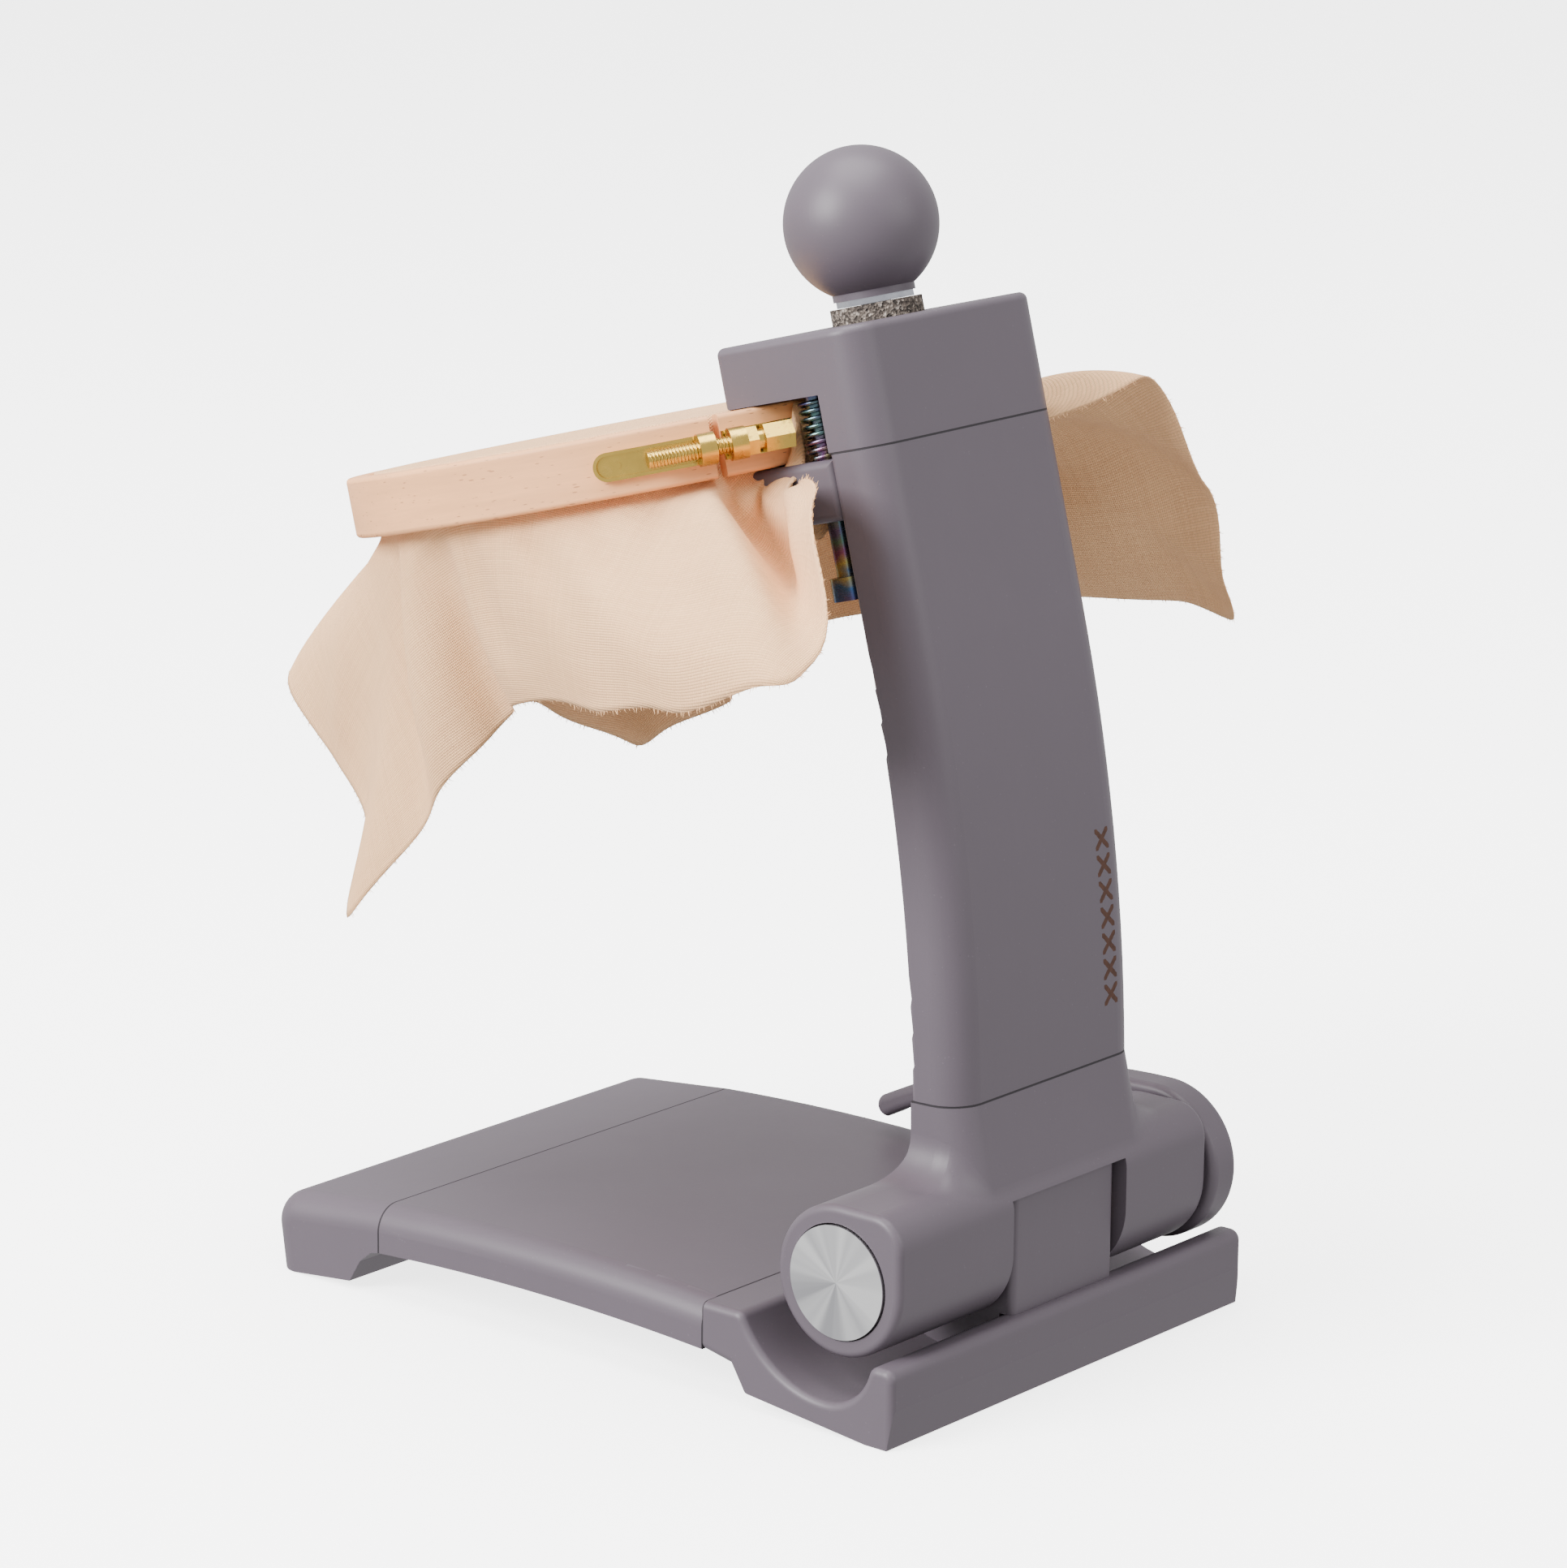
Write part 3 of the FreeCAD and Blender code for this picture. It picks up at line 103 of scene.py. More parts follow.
class StandFinishSettings(bpy.types.PropertyGroup):
    """Colours and grain sizes of the stand."""
    lacquer: colour("Lacquer", "Satin lacquer on the stand's boards", (0.092, 0.076, 0.092))
    lacquer_roughness: bpy.props.FloatProperty(name="Lacquer roughness", min=0.0, max=1.0,
                                               description="How matt the lacquer is", default=0.44)
    seam_width: length("Seam width", "Width of the dark line between two boards", 0.5 * MM)
    burnt: colour("Burnt mark", "Branded stitches on the arm", (0.035, 0.014, 0.008))
    stitch_size: length("Stitch size", "Width of one branded cross stitch", 5.6 * MM)
    stitch_count: bpy.props.IntProperty(name="Stitches", description="Branded stitches in the row",
                                        default=7, min=1)
    beech: colour("Beech", "Bare beech of the hoop", (0.82, 0.40, 0.18))
    brass: colour("Brass", "Pressed and turned brass", (0.60, 0.40, 0.085))


class LinenSettings(bpy.types.PropertyGroup):
    """The cloth in the hoop."""
    side: length("Side", "Side of the square cloth", 276 * MM)
    yarn_pitch: length("Yarn pitch", "Distance between two yarns of the weave", 0.62 * MM)
    thickness: length("Thickness", "Thickness of the cloth", 0.35 * MM)
    corner_angle: bpy.props.FloatProperty(name="Corner angle", subtype="ANGLE",
                                          description="Angle on the hoop of the first corner",
                                          default=math.radians(50))
    linen: colour("Linen", "Natural linen", (0.95, 0.53, 0.27))
    frames: bpy.props.IntProperty(name="Frames", description="Frames that the cloth is left to fall",
                                  default=46, min=2)
    fray: length("Fray", "Length of the loose yarn ends on the hem", 1.8 * MM)


class StageSettings(bpy.types.PropertyGroup):
    """The camera and the floor."""
    camera_place: bpy.props.FloatVectorProperty(name="Camera place", description="Where the camera stands",
                                                default=(1.1325, 0.8672, 0.5163), size=3,
                                                subtype="TRANSLATION", unit="LENGTH")
    heading: bpy.props.FloatProperty(name="Heading", description="Direction of the view round the stand",
                                     default=math.radians(39.847), subtype="ANGLE")
    pitch: bpy.props.FloatProperty(name="Pitch", description="How far the view looks down",
                                   default=math.radians(14.242), subtype="ANGLE")
    roll: bpy.props.FloatProperty(name="Roll", description="How far the view is turned about itself",
                                  default=math.radians(0.477), subtype="ANGLE")
    lens: bpy.props.FloatProperty(name="Lens", description="Focal length in millimetres",
                                  default=131.9, subtype="DISTANCE_CAMERA", unit="CAMERA")


# ---------------------------------------------------------------- shader maths
class Field:
    """A socket of a shader, on which plain Python maths adds the nodes."""

    def __init__(self, finish, socket):
        self.finish = finish
        self.socket = socket

    def _maths(self, operation, first, second=None):
        inputs = {0: first} if second is None else {0: first, 1: second}
        return self.finish.node("ShaderNodeMath", {"operation": operation}, inputs)

    def __add__(self, other):
        return self._maths("ADD", self, other)

    __radd__ = __add__

    def __sub__(self, other):
        return self._maths("SUBTRACT", self, other)

    def __rsub__(self, other):
        return self._maths("SUBTRACT", other, self)

    def __mul__(self, other):
        return self._maths("MULTIPLY", self, other)

    __rmul__ = __mul__

    def __truediv__(self, other):
        return self._maths("DIVIDE", self, other)

    def __rtruediv__(self, other):
        return self._maths("DIVIDE", other, self)

    def __pow__(self, other):
        return self._maths("POWER", self, other)

    def __mod__(self, other):
        return self._maths("FLOORED_MODULO", self, other)

    def __lt__(self, other):
        return self._maths("LESS_THAN", self, other)

    def __gt__(self, other):
        return self._maths("GREATER_THAN", self, other)

    def __abs__(self):
        return self._maths("ABSOLUTE", self)

    def __neg__(self):
        return self * -1

    def floor(self):
        return self._maths("FLOOR", self)

    def sine(self):
        return self._maths("SINE", self)

    def root(self):
        return self._maths("SQRT", self)

    def least(self, other):
        return self._maths("MINIMUM", self, other)

    def most(self, other):
        return self._maths("MAXIMUM", self, other)

    def angle_from(self, other):
        return self._maths("ARCTAN2", self, other)

    def clipped(self):
        return self.least(1.0).most(0.0)


class Finish:
    """One material: its nodes are added by calls and by maths on its fields."""

    def __init__(self, name):
        self.material = bpy.data.materials.new(name)
        self.material.use_nodes = True
        self.tree = self.material.node_tree
        self.shader = self.tree.nodes["Principled BSDF"]

    def node(self, kind, settings=None, inputs=None, output=0):
        """Adds a node of a kind: its settings, then the values or links of its inputs."""
        made = self.tree.nodes.new(kind)
        stops = (settings or {}).pop("stops", None)
        for key, value in (settings or {}).items():
            setattr(made, key, value)
        if stops:
            ramp = made.color_ramp
            while len(ramp.elements) < len(stops):
                ramp.elements.new(0.5)
            for element, (place, tone) in zip(ramp.elements, stops):
                element.position = place
                element.color = (*tone, 1.0) if hasattr(tone, "__len__") else (tone, tone, tone, 1.0)
        for key, value in (inputs or {}).items():
            if isinstance(value, Field):
                self.tree.links.new(value.socket, made.inputs[key])
            elif hasattr(value, "__len__") and len(made.inputs[key].default_value) == 4:
                made.inputs[key].default_value = (*value, 1.0)[:4]
            else:
                made.inputs[key].default_value = value
        return Field(self, made.outputs[output])

    def place(self):
        """Object coordinates, in metres."""
        return self.node("ShaderNodeTexCoord", output="Object")

    def on_cloth(self):
        """The cloth's own flat coordinates."""
        return self.node("ShaderNodeUVMap", {"uv_map": "flat"})

    def moved(self, vector, location=(0, 0, 0), rotation=(0, 0, 0), scale=(1, 1, 1), kind="POINT"):
        return self.node("ShaderNodeMapping", {"vector_type": kind},
                         {"Vector": vector, "Location": location, "Rotation": rotation, "Scale": scale})

    def split(self, vector):
        made = self.tree.nodes.new("ShaderNodeSeparateXYZ")
        self.tree.links.new(vector.socket, made.inputs[0])
        return [Field(self, output) for output in made.outputs]

    def vector(self, x_part, y_part, z_part):
        return self.node("ShaderNodeCombineXYZ", None, {0: x_part, 1: y_part, 2: z_part})

    def noise(self, vector, scale, detail=2.0, roughness=0.5, distortion=0.0):
        return self.node("ShaderNodeTexNoise", None, {"Vector": vector, "Scale": scale, "Detail": detail,
                                                      "Roughness": roughness, "Distortion": distortion})

    def cells(self, vector, scale, randomness=1.0, feature="F1"):
        return self.node("ShaderNodeTexVoronoi", {"feature": feature},
                         {"Vector": vector, "Scale": scale, "Randomness": randomness})

    def ramp(self, value, *stops):
        return self.node("ShaderNodeValToRGB", {"stops": stops}, {0: value})

    def blend(self, share, first, second, how="MIX"):
        """A colour mixed from two."""
        return self.node("ShaderNodeMix", {"data_type": "RGBA", "blend_type": how},
                         {0: share, 6: first, 7: second}, output=2)

    def bump(self, height, distance, strength=1.0, under=None):
        inputs = {"Height": height, "Distance": distance, "Strength": strength}
        if under is not None:
            inputs["Normal"] = under
        return self.node("ShaderNodeBump", None, inputs)

    def shade(self, **sockets):
        """Links or sets the shader's sockets; an underscore in a name stands for a space."""
        for name, value in sockets.items():
            socket = self.shader.inputs[name.replace("_", " ")]
            if isinstance(value, Field):
                self.tree.links.new(value.socket, socket)
            elif hasattr(value, "__len__"):
                socket.default_value = (*value, 1.0)[:4]
            else:
                socket.default_value = value
        return self.material


def tint(base, factor):
    """A colour made lighter or darker."""
    return tuple(min(1.0, part * factor) for part in base)


def seam_at(node, normal, side):
    """The plane of a seam: a node's lowest or highest points along a normal."""
    distances = [vertex.co.dot(normal) for vertex in NODES[node].data.vertices]
    return normal, side(distances)


def lacquer_finish(settings, name="lacquered_wood", stitches=False, seams=()):
    """Satin lacquer: faint grain under it, a fine orange-peel, dust specks and the seams of its boards."""
    finish = Finish(name)
    place = finish.place()
    base = tuple(settings.lacquer)
    grain = finish.noise(finish.moved(place, scale=(1, 1, 0.08)), 420, 3)
    mottle = finish.noise(place, 60, 3)
    speck_cells = finish.cells(place, 520)
    speck_size = finish.noise(place, 260, 1)
    speck = finish.ramp(speck_cells + (speck_size * -0.30 + 0.15), (0.045, 1.0), (0.075, 0.0))
    tone = finish.blend(mottle, tint(base, 0.965), tint(base, 1.035))
    tone = finish.blend(grain * 0.35, tone, tint(base, 0.93))
    tone = finish.blend(speck * 0.22, tone, tint(base, 1.9))
    dark_cells = finish.cells(finish.moved(place, location=(0.31, 0.17, 0.05)), 300)
    dark = finish.ramp(dark_cells, (0.03, 1.0), (0.05, 0.0))
    tone = finish.blend(dark * 0.35, tone, tint(base, 0.45))
    peel = finish.noise(place, 1500, 2)
    fine = finish.noise(place, 5200, 1)
    rough = mottle * 0.06 + fine * 0.05 + (settings.lacquer_roughness - 0.055)
    height = peel * 0.5 + grain * 0.35 + speck * 0.35
    if stitches:
        mask = stitch_mask(finish, settings)
        char = finish.noise(place, 900, 3)
        burnt = finish.blend(char, tint(settings.burnt, 0.7), tint(settings.burnt, 2.6))
        tone = finish.blend(mask, tone, burnt)
        rough = rough + mask * 0.30
        height = height - mask * 14
    for normal, distance in seams:
        along = finish.node("ShaderNodeVectorMath", {"operation": "DOT_PRODUCT"},
                            {0: place, 1: tuple(normal)}, output="Value")
        away = abs(along - distance) / settings.seam_width
        seam = finish.ramp(away, (0.42, 1.0), (0.62, 0.0))
        tone = finish.blend(seam * 0.88, tone, tint(base, 0.12))
        rough = rough + seam * 0.3
        height = height - seam * 9
    return finish.shade(Base_Color=tone, Roughness=rough, Specular_IOR_Level=0.32,
                        Normal=finish.bump(height, 0.000018))


def stitch_mask(finish, settings):
    """1 on the row of branded cross stitches near the edge of the arm's back, else 0."""
    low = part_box("arm_column")[0]
    across, back, upward = finish.split(finish.place())
    size = settings.stitch_size
    pitch = size * 1.22
    start = low.z + STITCH_RISE
    along = (upward - start) / pitch
    row = (along > 0) * (along < settings.stitch_count)
    in_cell = (along % 1.0 - 0.5) * (pitch / size)
    side = (across - (low.x + STITCH_INSET)) / size
    inside = (abs(in_cell) < 0.5) * (abs(side) < 0.5)
    ragged = finish.noise(finish.place(), 1400, 2) * 0.10 - 0.05
    first = abs(in_cell - side + ragged) < 0.17
    second = abs(in_cell + side + ragged) < 0.17
    on_back = back > -BACK_EDGE_DEPTH
    outline = first.most(second)
    back_face = finish.split(finish.node("ShaderNodeNewGeometry", output="Normal"))[1] > 0.6
    return row * inside * outline * on_back * back_face


def beech_finish(settings, name, centre=None):
    """Bare sanded beech with its short dark flecks, bent round the hoop where it has a centre."""
    finish = Finish(name)
    place = finish.place()
    if centre is not None:
        lean = math.asin(ARM_BACK.z)
        local = finish.moved(place, location=centre, rotation=(lean, 0, 0), kind="TEXTURE")
        x_part, y_part, z_part = finish.split(local)
        radius = (x_part * x_part + y_part * y_part).root()
        turn = y_part.angle_from(x_part)
        runs = finish.vector(turn * 0.078, radius, z_part)
    else:
        x_part, y_part, z_part = finish.split(place)
        runs = finish.vector(y_part, x_part, z_part)
    base = tuple(settings.beech)
    broad = finish.noise(finish.moved(runs, scale=(0.10, 1, 1)), 260, 4, 0.6)
    fine = finish.noise(finish.moved(runs, scale=(0.05, 1, 1)), 1500, 3, 0.65)
    tone = finish.ramp(broad, (0.25, tint(base, 0.86)), (0.55, base), (0.8, tint(base, 1.18)))
    tone = finish.blend(fine * 0.30, tone, tint(base, 0.70))
    fleck_cells = finish.cells(finish.moved(runs, scale=(0.22, 1, 1)), 1150)
    fleck_where = finish.noise(finish.moved(runs, scale=(0.5, 1, 1)), 300, 2)
    fleck = finish.ramp(fleck_cells + (fleck_where * -0.45 + 0.26), (0.13, 1.0), (0.20, 0.0))
    tone = finish.blend(fleck * 0.62, tone, (0.25, 0.10, 0.045))
    rough = fine * 0.12 + 0.46
    return finish.shade(Base_Color=tone, Roughness=rough, Specular_IOR_Level=0.35,
                        Normal=finish.bump(fine * 0.6 - fleck * 0.5, 0.00004))


def linen_finish(settings):
    """Plain-woven linen: over and under yarns, slubs, and the fuzz of flax, with painted shade in the low
    parts of the weave and in the gaps between the yarns.
    """
    finish = Finish("linen")
    flat = finish.on_cloth()
    base = tuple(settings.linen)
    wander = finish.noise(flat, 55, 2) * 0.00035
    u_part, v_part, _ = finish.split(flat)
    u_yarn = (u_part + wander) / settings.yarn_pitch
    v_yarn = (v_part + wander * 0.8) / settings.yarn_pitch
    u_wave = (u_yarn * math.pi).sine()
    v_wave = (v_yarn * math.pi).sine()
    u_round = abs(u_wave) ** 0.6
    v_round = abs(v_wave) ** 0.6
    # warp on top where the two counts make an even sum
    parity = (u_yarn.floor() + v_yarn.floor()) % 2.0
    warp_top = u_round * (abs((v_yarn * math.pi).sine()) * 0.5 + 0.5)
    weft_top = v_round * (abs((u_yarn * math.pi).sine()) * 0.5 + 0.5)
    height = parity * warp_top + (1 - parity) * weft_top
    # the gaps between the yarns, which the colour below fills with painted shade
    hole = (1 - u_round) * (1 - v_round)
    warp_tone = finish.noise(finish.vector(u_yarn.floor() * 0.37, v_part * 9, 0), 3.1, 2)
    weft_tone = finish.noise(finish.vector(v_yarn.floor() * 0.41, u_part * 9, 5), 3.1, 2)
    slub = finish.ramp(parity * warp_tone + (1 - parity) * weft_tone, (0.30, 0.0), (0.75, 1.0))
    tone = finish.blend(slub, tint(base, 0.86), tint(base, 1.13))
    # painted shade: the low parts of the weave darker, and the gaps between the yarns dark brown
    tone = finish.blend((1 - height).clipped() * 0.42, tone, tint(base, 0.55))
    tone = finish.blend(hole.clipped() * 0.75, tone, (0.20, 0.11, 0.065))
    patches = finish.noise(flat, 22, 2)
    tone = finish.blend(patches * 0.16, tone, tint(base, 1.25))
    fuzz = finish.noise(flat, 5200, 2)
    under = finish.bump(fuzz, 0.00006, 0.5)
    return finish.shade(Base_Color=tone, Roughness=height * 0.08 + 0.80, Sheen_Weight=0.08,
                        Sheen_Roughness=0.5, Specular_IOR_Level=0.2,
                        Normal=finish.bump(height + slub * 0.25, 0.00022, 0.9, under))


def brass_finish(settings):
    """Bright yellow brass with rolling marks and a little tarnish."""
    finish = Finish("brass")
    place = finish.place()
    base = tuple(settings.brass)
    cloud = finish.noise(place, 240, 4)
    fine = finish.noise(finish.moved(place, scale=(1, 1, 6)), 1400, 2)
    tone = finish.blend(cloud, tint(base, 0.86), tint(base, 1.12))
    tarnish = finish.ramp(finish.noise(place, 520, 3), (0.58, 0.0), (0.74, 1.0))
    tone = finish.blend(tarnish * 0.45, tone, (0.36, 0.24, 0.07))
    rough = cloud * 0.12 + fine * 0.08 + tarnish * 0.15 + 0.14
    return finish.shade(Base_Color=tone, Metallic=1.0, Roughness=rough,
                        Normal=finish.bump(fine, 0.00001))


def turned_cap_finish():
    """Aluminium faced on a lathe: fine rings about the hinge line, and bright and dark sectors round it
    that are painted highlight and shade.
    """
    finish = Finish("brushed_aluminium")
    place = finish.place()
    x_part, y_part, z_part = finish.split(finish.moved(place, location=-HINGE))
    radius = (y_part * y_part + z_part * z_part).root()
    ring = finish.noise(finish.vector(radius * 5200, 0, 0), 1.0, 3, 0.7)
    coarse = finish.noise(finish.vector(radius * 1500, 2.0, 0), 1.0, 2)
    # painted highlight and shade: bright and dark sectors round the hinge line stand in for the reflections
    # of the turned face
    highlight_sector = finish.noise(finish.vector(y_part / radius, z_part / radius, 0), 1.35, 2, 0.5)
    tone = finish.ramp(highlight_sector, (0.36, (0.42, 0.42, 0.44)), (0.50, (0.70, 0.70, 0.71)),
                       (0.62, (0.92, 0.92, 0.92)))
    tone = finish.blend(ring * 0.30, tone, (0.50, 0.50, 0.52))
    return finish.shade(Base_Color=tone, Metallic=1.0, Roughness=ring * 0.10 + coarse * 0.04 + 0.24,
                        Normal=finish.bump(ring + coarse * 0.6, 0.000016, 0.9))


def tempered_finish():
    """Tempered steel: straw, purple, blue and green films that run along the part."""
    finish = Finish("tempered_steel")
    place = finish.place()
    local = finish.moved(place, rotation=(math.asin(ARM_BACK.z), 0, 0), kind="TEXTURE")
    x_part, y_part, z_part = finish.split(local)
    cloud = finish.noise(place, 110, 3)
    phase = (z_part * 38 + x_part * 23 + cloud * 1.1) % 1.0
    film = finish.ramp(phase, (0.0, (0.09, 0.08, 0.20)), (0.22, (0.05, 0.12, 0.27)),
                       (0.42, (0.30, 0.28, 0.10)), (0.58, (0.17, 0.07, 0.17)),
                       (0.78, (0.08, 0.16, 0.14)), (1.0, (0.09, 0.08, 0.20)))
    fine = finish.noise(finish.moved(local, scale=(1, 1, 9)), 900, 2)
    return finish.shade(Base_Color=film, Metallic=1.0, Roughness=fine * 0.12 + 0.20,
                        Normal=finish.bump(fine, 0.000012))


def foam_finish():
    """Grey-brown foam with open cells of mixed light and dark crumbs, and painted shade in its pits."""
    finish = Finish("foam")
    place = finish.place()
    crumbs = finish.cells(place, 1500)
    crumb_tone = finish.node("ShaderNodeTexVoronoi", None, {"Vector": place, "Scale": 1500.0},
                             output="Color")
    pick = finish.split(crumb_tone)[0]
    tone = finish.ramp(pick, (0.0, (0.045, 0.038, 0.034)), (0.45, (0.16, 0.13, 0.11)),
                       (0.8, (0.30, 0.25, 0.21)), (1.0, (0.50, 0.44, 0.39)))
    pits_and_shade = finish.noise(place, 1100, 3)
    # painted shade: the pits made near black
    tone = finish.blend(finish.ramp(pits_and_shade, (0.40, 0.0), (0.60, 1.0)) * 0.55, tone, (0.03, 0.026, 0.024))
    return finish.shade(Base_Color=tone, Roughness=0.92, Specular_IOR_Level=0.15,
                        Normal=finish.bump(crumbs + pits_and_shade, 0.0005))


def steel_finish(name, tone_low, tone_high, roughness):
    """Plain machined steel or bright zinc, with turning marks and small scratches."""
    finish = Finish(name)
    place = finish.place()
    cloud = finish.noise(place, 320, 3)
    fine = finish.noise(finish.moved(place, scale=(1, 1, 8)), 1600, 2)
    tone = finish.blend(cloud, tone_low, tone_high)
    return finish.shade(Base_Color=tone, Metallic=1.0, Roughness=fine * 0.10 + cloud * 0.06 + roughness,
                        Normal=finish.bump(fine, 0.00001))


def fibre_finish():
    """Pressed brown fibre of the hinge's friction washers."""
    finish = Finish("fibre")
    place = finish.place()
    mat = finish.noise(place, 900, 4, 0.7)
    tone = finish.ramp(mat, (0.3, (0.10, 0.07, 0.05)), (0.7, (0.26, 0.19, 0.13)))
    return finish.shade(Base_Color=tone, Roughness=mat * 0.15 + 0.72, Normal=finish.bump(mat, 0.00008))


# ---------------------------------------------------------------- helpers for new pieces
def deselect():
    """Nothing stays selected or active, so that an operator acts only on what comes next."""
    if bpy.context.object is not None and bpy.context.object.mode != "OBJECT":
        bpy.ops.object.mode_set(mode="OBJECT")
    bpy.ops.object.select_all(action="DESELECT")
    bpy.context.view_layer.objects.active = None


def finish_piece(piece, name, material, body, matrix=None):
    """Puts a piece's place in its mesh, paints it and lets it ride on its body."""
    if matrix is not None:
        piece.data.transform(matrix)
    piece.name = name
    piece.data.name = name
    piece.data.materials.clear()
    piece.data.materials.append(material)
    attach(piece, body)
    return piece


def apply_modifiers(piece):
    deselect()
    piece.select_set(True)
    bpy.context.view_layer.objects.active = piece
    for modifier in list(piece.modifiers):
        bpy.ops.object.modifier_apply(modifier=modifier.name)


def paint(material, *nodes):
    """Gives CAD nodes a material."""
    for node in nodes:
        mesh = NODES[node].data
        mesh.materials.clear()
        mesh.materials.append(material)


# ---------------------------------------------------------------- operators
class PaintStand(bpy.types.Operator):
    """Gives the boards, the ball and the lever their lacquer, and the dowels bare beech"""
    bl_idname = "hoop_stand.paint_stand"
    bl_label = "Paint the stand"

    def execute(self, context):
        settings = context.scene.stand_finish
        lengthwise = Vector((0, 1, 0))
        fork_up = Vector((0, -math.sin(FORK_SLOPE), math.cos(FORK_SLOPE)))
        base_seams = [seam_at("base_middle_board", lengthwise, side) for side in (min, max)]
        arm_seams = [seam_at("arm_column", fork_up, min), seam_at("arm_column", ARM_UP, max)]
        paint(lacquer_finish(settings), "hinge_lug", "lock_lever", "ball_knob", "lower_jaw")
        paint(lacquer_finish(settings, "base_lacquer", seams=base_seams),
              "base_front_bar", "base_middle_board", "base_rear_bar")
        paint(lacquer_finish(settings, "arm_lacquer", seams=arm_seams), "arm_fork", "head_block")
        paint(lacquer_finish(settings, "branded_lacquer", True, arm_seams), "arm_column")
        paint(beech_finish(settings, "dowel_beech"), *[node for node in NODES if "dowel" in node])
        return {"FINISHED"}


class PaintHardware(bpy.types.Operator):
    """Gives the metal, fibre and foam parts of the hinge, the jaws and the knob their finishes"""
    bl_idname = "hoop_stand.paint_hardware"
    bl_label = "Paint the hardware"

    def execute(self, context):
        settings = context.scene.stand_finish
        paint(turned_cap_finish(), "hinge_cap")
        paint(tempered_finish(), "guide_bolt_1", "guide_bolt_2", "jaw_spring_1", "jaw_spring_2")
        paint(foam_finish(), "foam_washer")
        paint(fibre_finish(), "friction_washer_cap", "friction_washer_lever")
        paint(steel_finish("zinc", (0.34, 0.35, 0.40), (0.60, 0.61, 0.66), 0.10), "knob_insert")
        paint(steel_finish("steel", (0.42, 0.42, 0.44), (0.60, 0.60, 0.61), 0.22),
              "clamp_rod", "hinge_bolt", "cross_pin", "bolt_washer", "lever_washer", "lug_screw_1",
              "lug_screw_2")
        paint(brass_finish(settings), "fork_bush_cap", "fork_bush_lever", "guide_insert_1",
              "guide_insert_2", "jaw_insert", "lever_insert", "plate_free", "plate_head",
              "plate_free_pin_1", "plate_free_pin_2", "plate_head_pin_1", "plate_head_pin_2",
              "hoop_screw", "screw_nut")
        return {"FINISHED"}


class PaintHoop(bpy.types.Operator):
    """Gives the two rings of the hoop their bent beech"""
    bl_idname = "hoop_stand.paint_hoop"
    bl_label = "Paint the hoop"

    def execute(self, context):
        settings = context.scene.stand_finish
        paint(beech_finish(settings, "bent_beech", HOOP_FRAME.translation),
              "hoop_outer_ring", "hoop_inner_ring")
        return {"FINISHED"}


class MakeThreads(bpy.types.Operator):
    """Winds the fine threads of the hoop's screw and of the rod that closes the jaws"""
    bl_idname = "hoop_stand.make_threads"
    bl_label = "Make the threads"

    def execute(self, context):
        screw = JOINTS["hoop_screw_turn"]
        knob = JOINTS["knob_turn"]
        brass = NODES["hoop_screw"].data.materials[0]
        steel = NODES["clamp_rod"].data.materials[0]
        axis = Vector(screw["axis"])
        place = Vector(screw["pos_m"])
        self.wind("hoop_screw_thread", place - axis * 0.0188, axis, 0.00195, 0.0009, 0.026, brass, "brass",
                  "hoop_screw_set")
        rod_axis = Vector(knob["axis"])
        rod_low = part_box("clamp_rod")[0]
        start = Vector(knob["pos_m"])
        drop = (start.z - rod_low.z) / rod_axis.z - 0.002
        self.wind("clamp_rod_thread", start - rod_axis * drop, rod_axis, 0.0039, 0.00125, 0.0135,
                  steel, "steel", "knob")
        return {"FINISHED"}

    def wind(self, name, start, axis, radius, pitch, run, material, slot, body):
        """One ridge of a thread: a small wedge wound with the screw modifier."""
        deselect()
        bpy.ops.mesh.primitive_circle_add(vertices=3, radius=pitch * 0.5, location=(radius, 0, 0),
                                          rotation=(math.pi / 2, 0, 0))
        ridge = bpy.context.object
        bpy.ops.object.transform_apply(location=True, rotation=True, scale=True)
        winding = ridge.modifiers.new("winding", "SCREW")
        winding.axis = "Z"
        winding.screw_offset = pitch
        winding.iterations = max(1, round(run / pitch))
        winding.steps = 20
        winding.render_steps = 20
        winding.use_normal_calculate = True
        apply_modifiers(ridge)
        bpy.ops.object.mode_set(mode="EDIT")
        bpy.ops.mesh.select_all(action="SELECT")
        bpy.ops.mesh.remove_doubles(threshold=0.000001)
        bpy.ops.mesh.select_non_manifold(extend=False, use_multi_face=False, use_non_contiguous=False,
                                         use_verts=False)
        bpy.ops.mesh.edge_face_add()
        bpy.ops.mesh.select_all(action="SELECT")
        bpy.ops.mesh.normals_make_consistent(inside=False)
        bpy.ops.object.mode_set(mode="OBJECT")
        turn = Vector((0, 0, 1)).rotation_difference(axis).to_matrix().to_4x4()
        return finish_piece(ridge, name, material, body, Matrix.Translation(start) @ turn)


YARN_RADIUS = 0.11 * MM

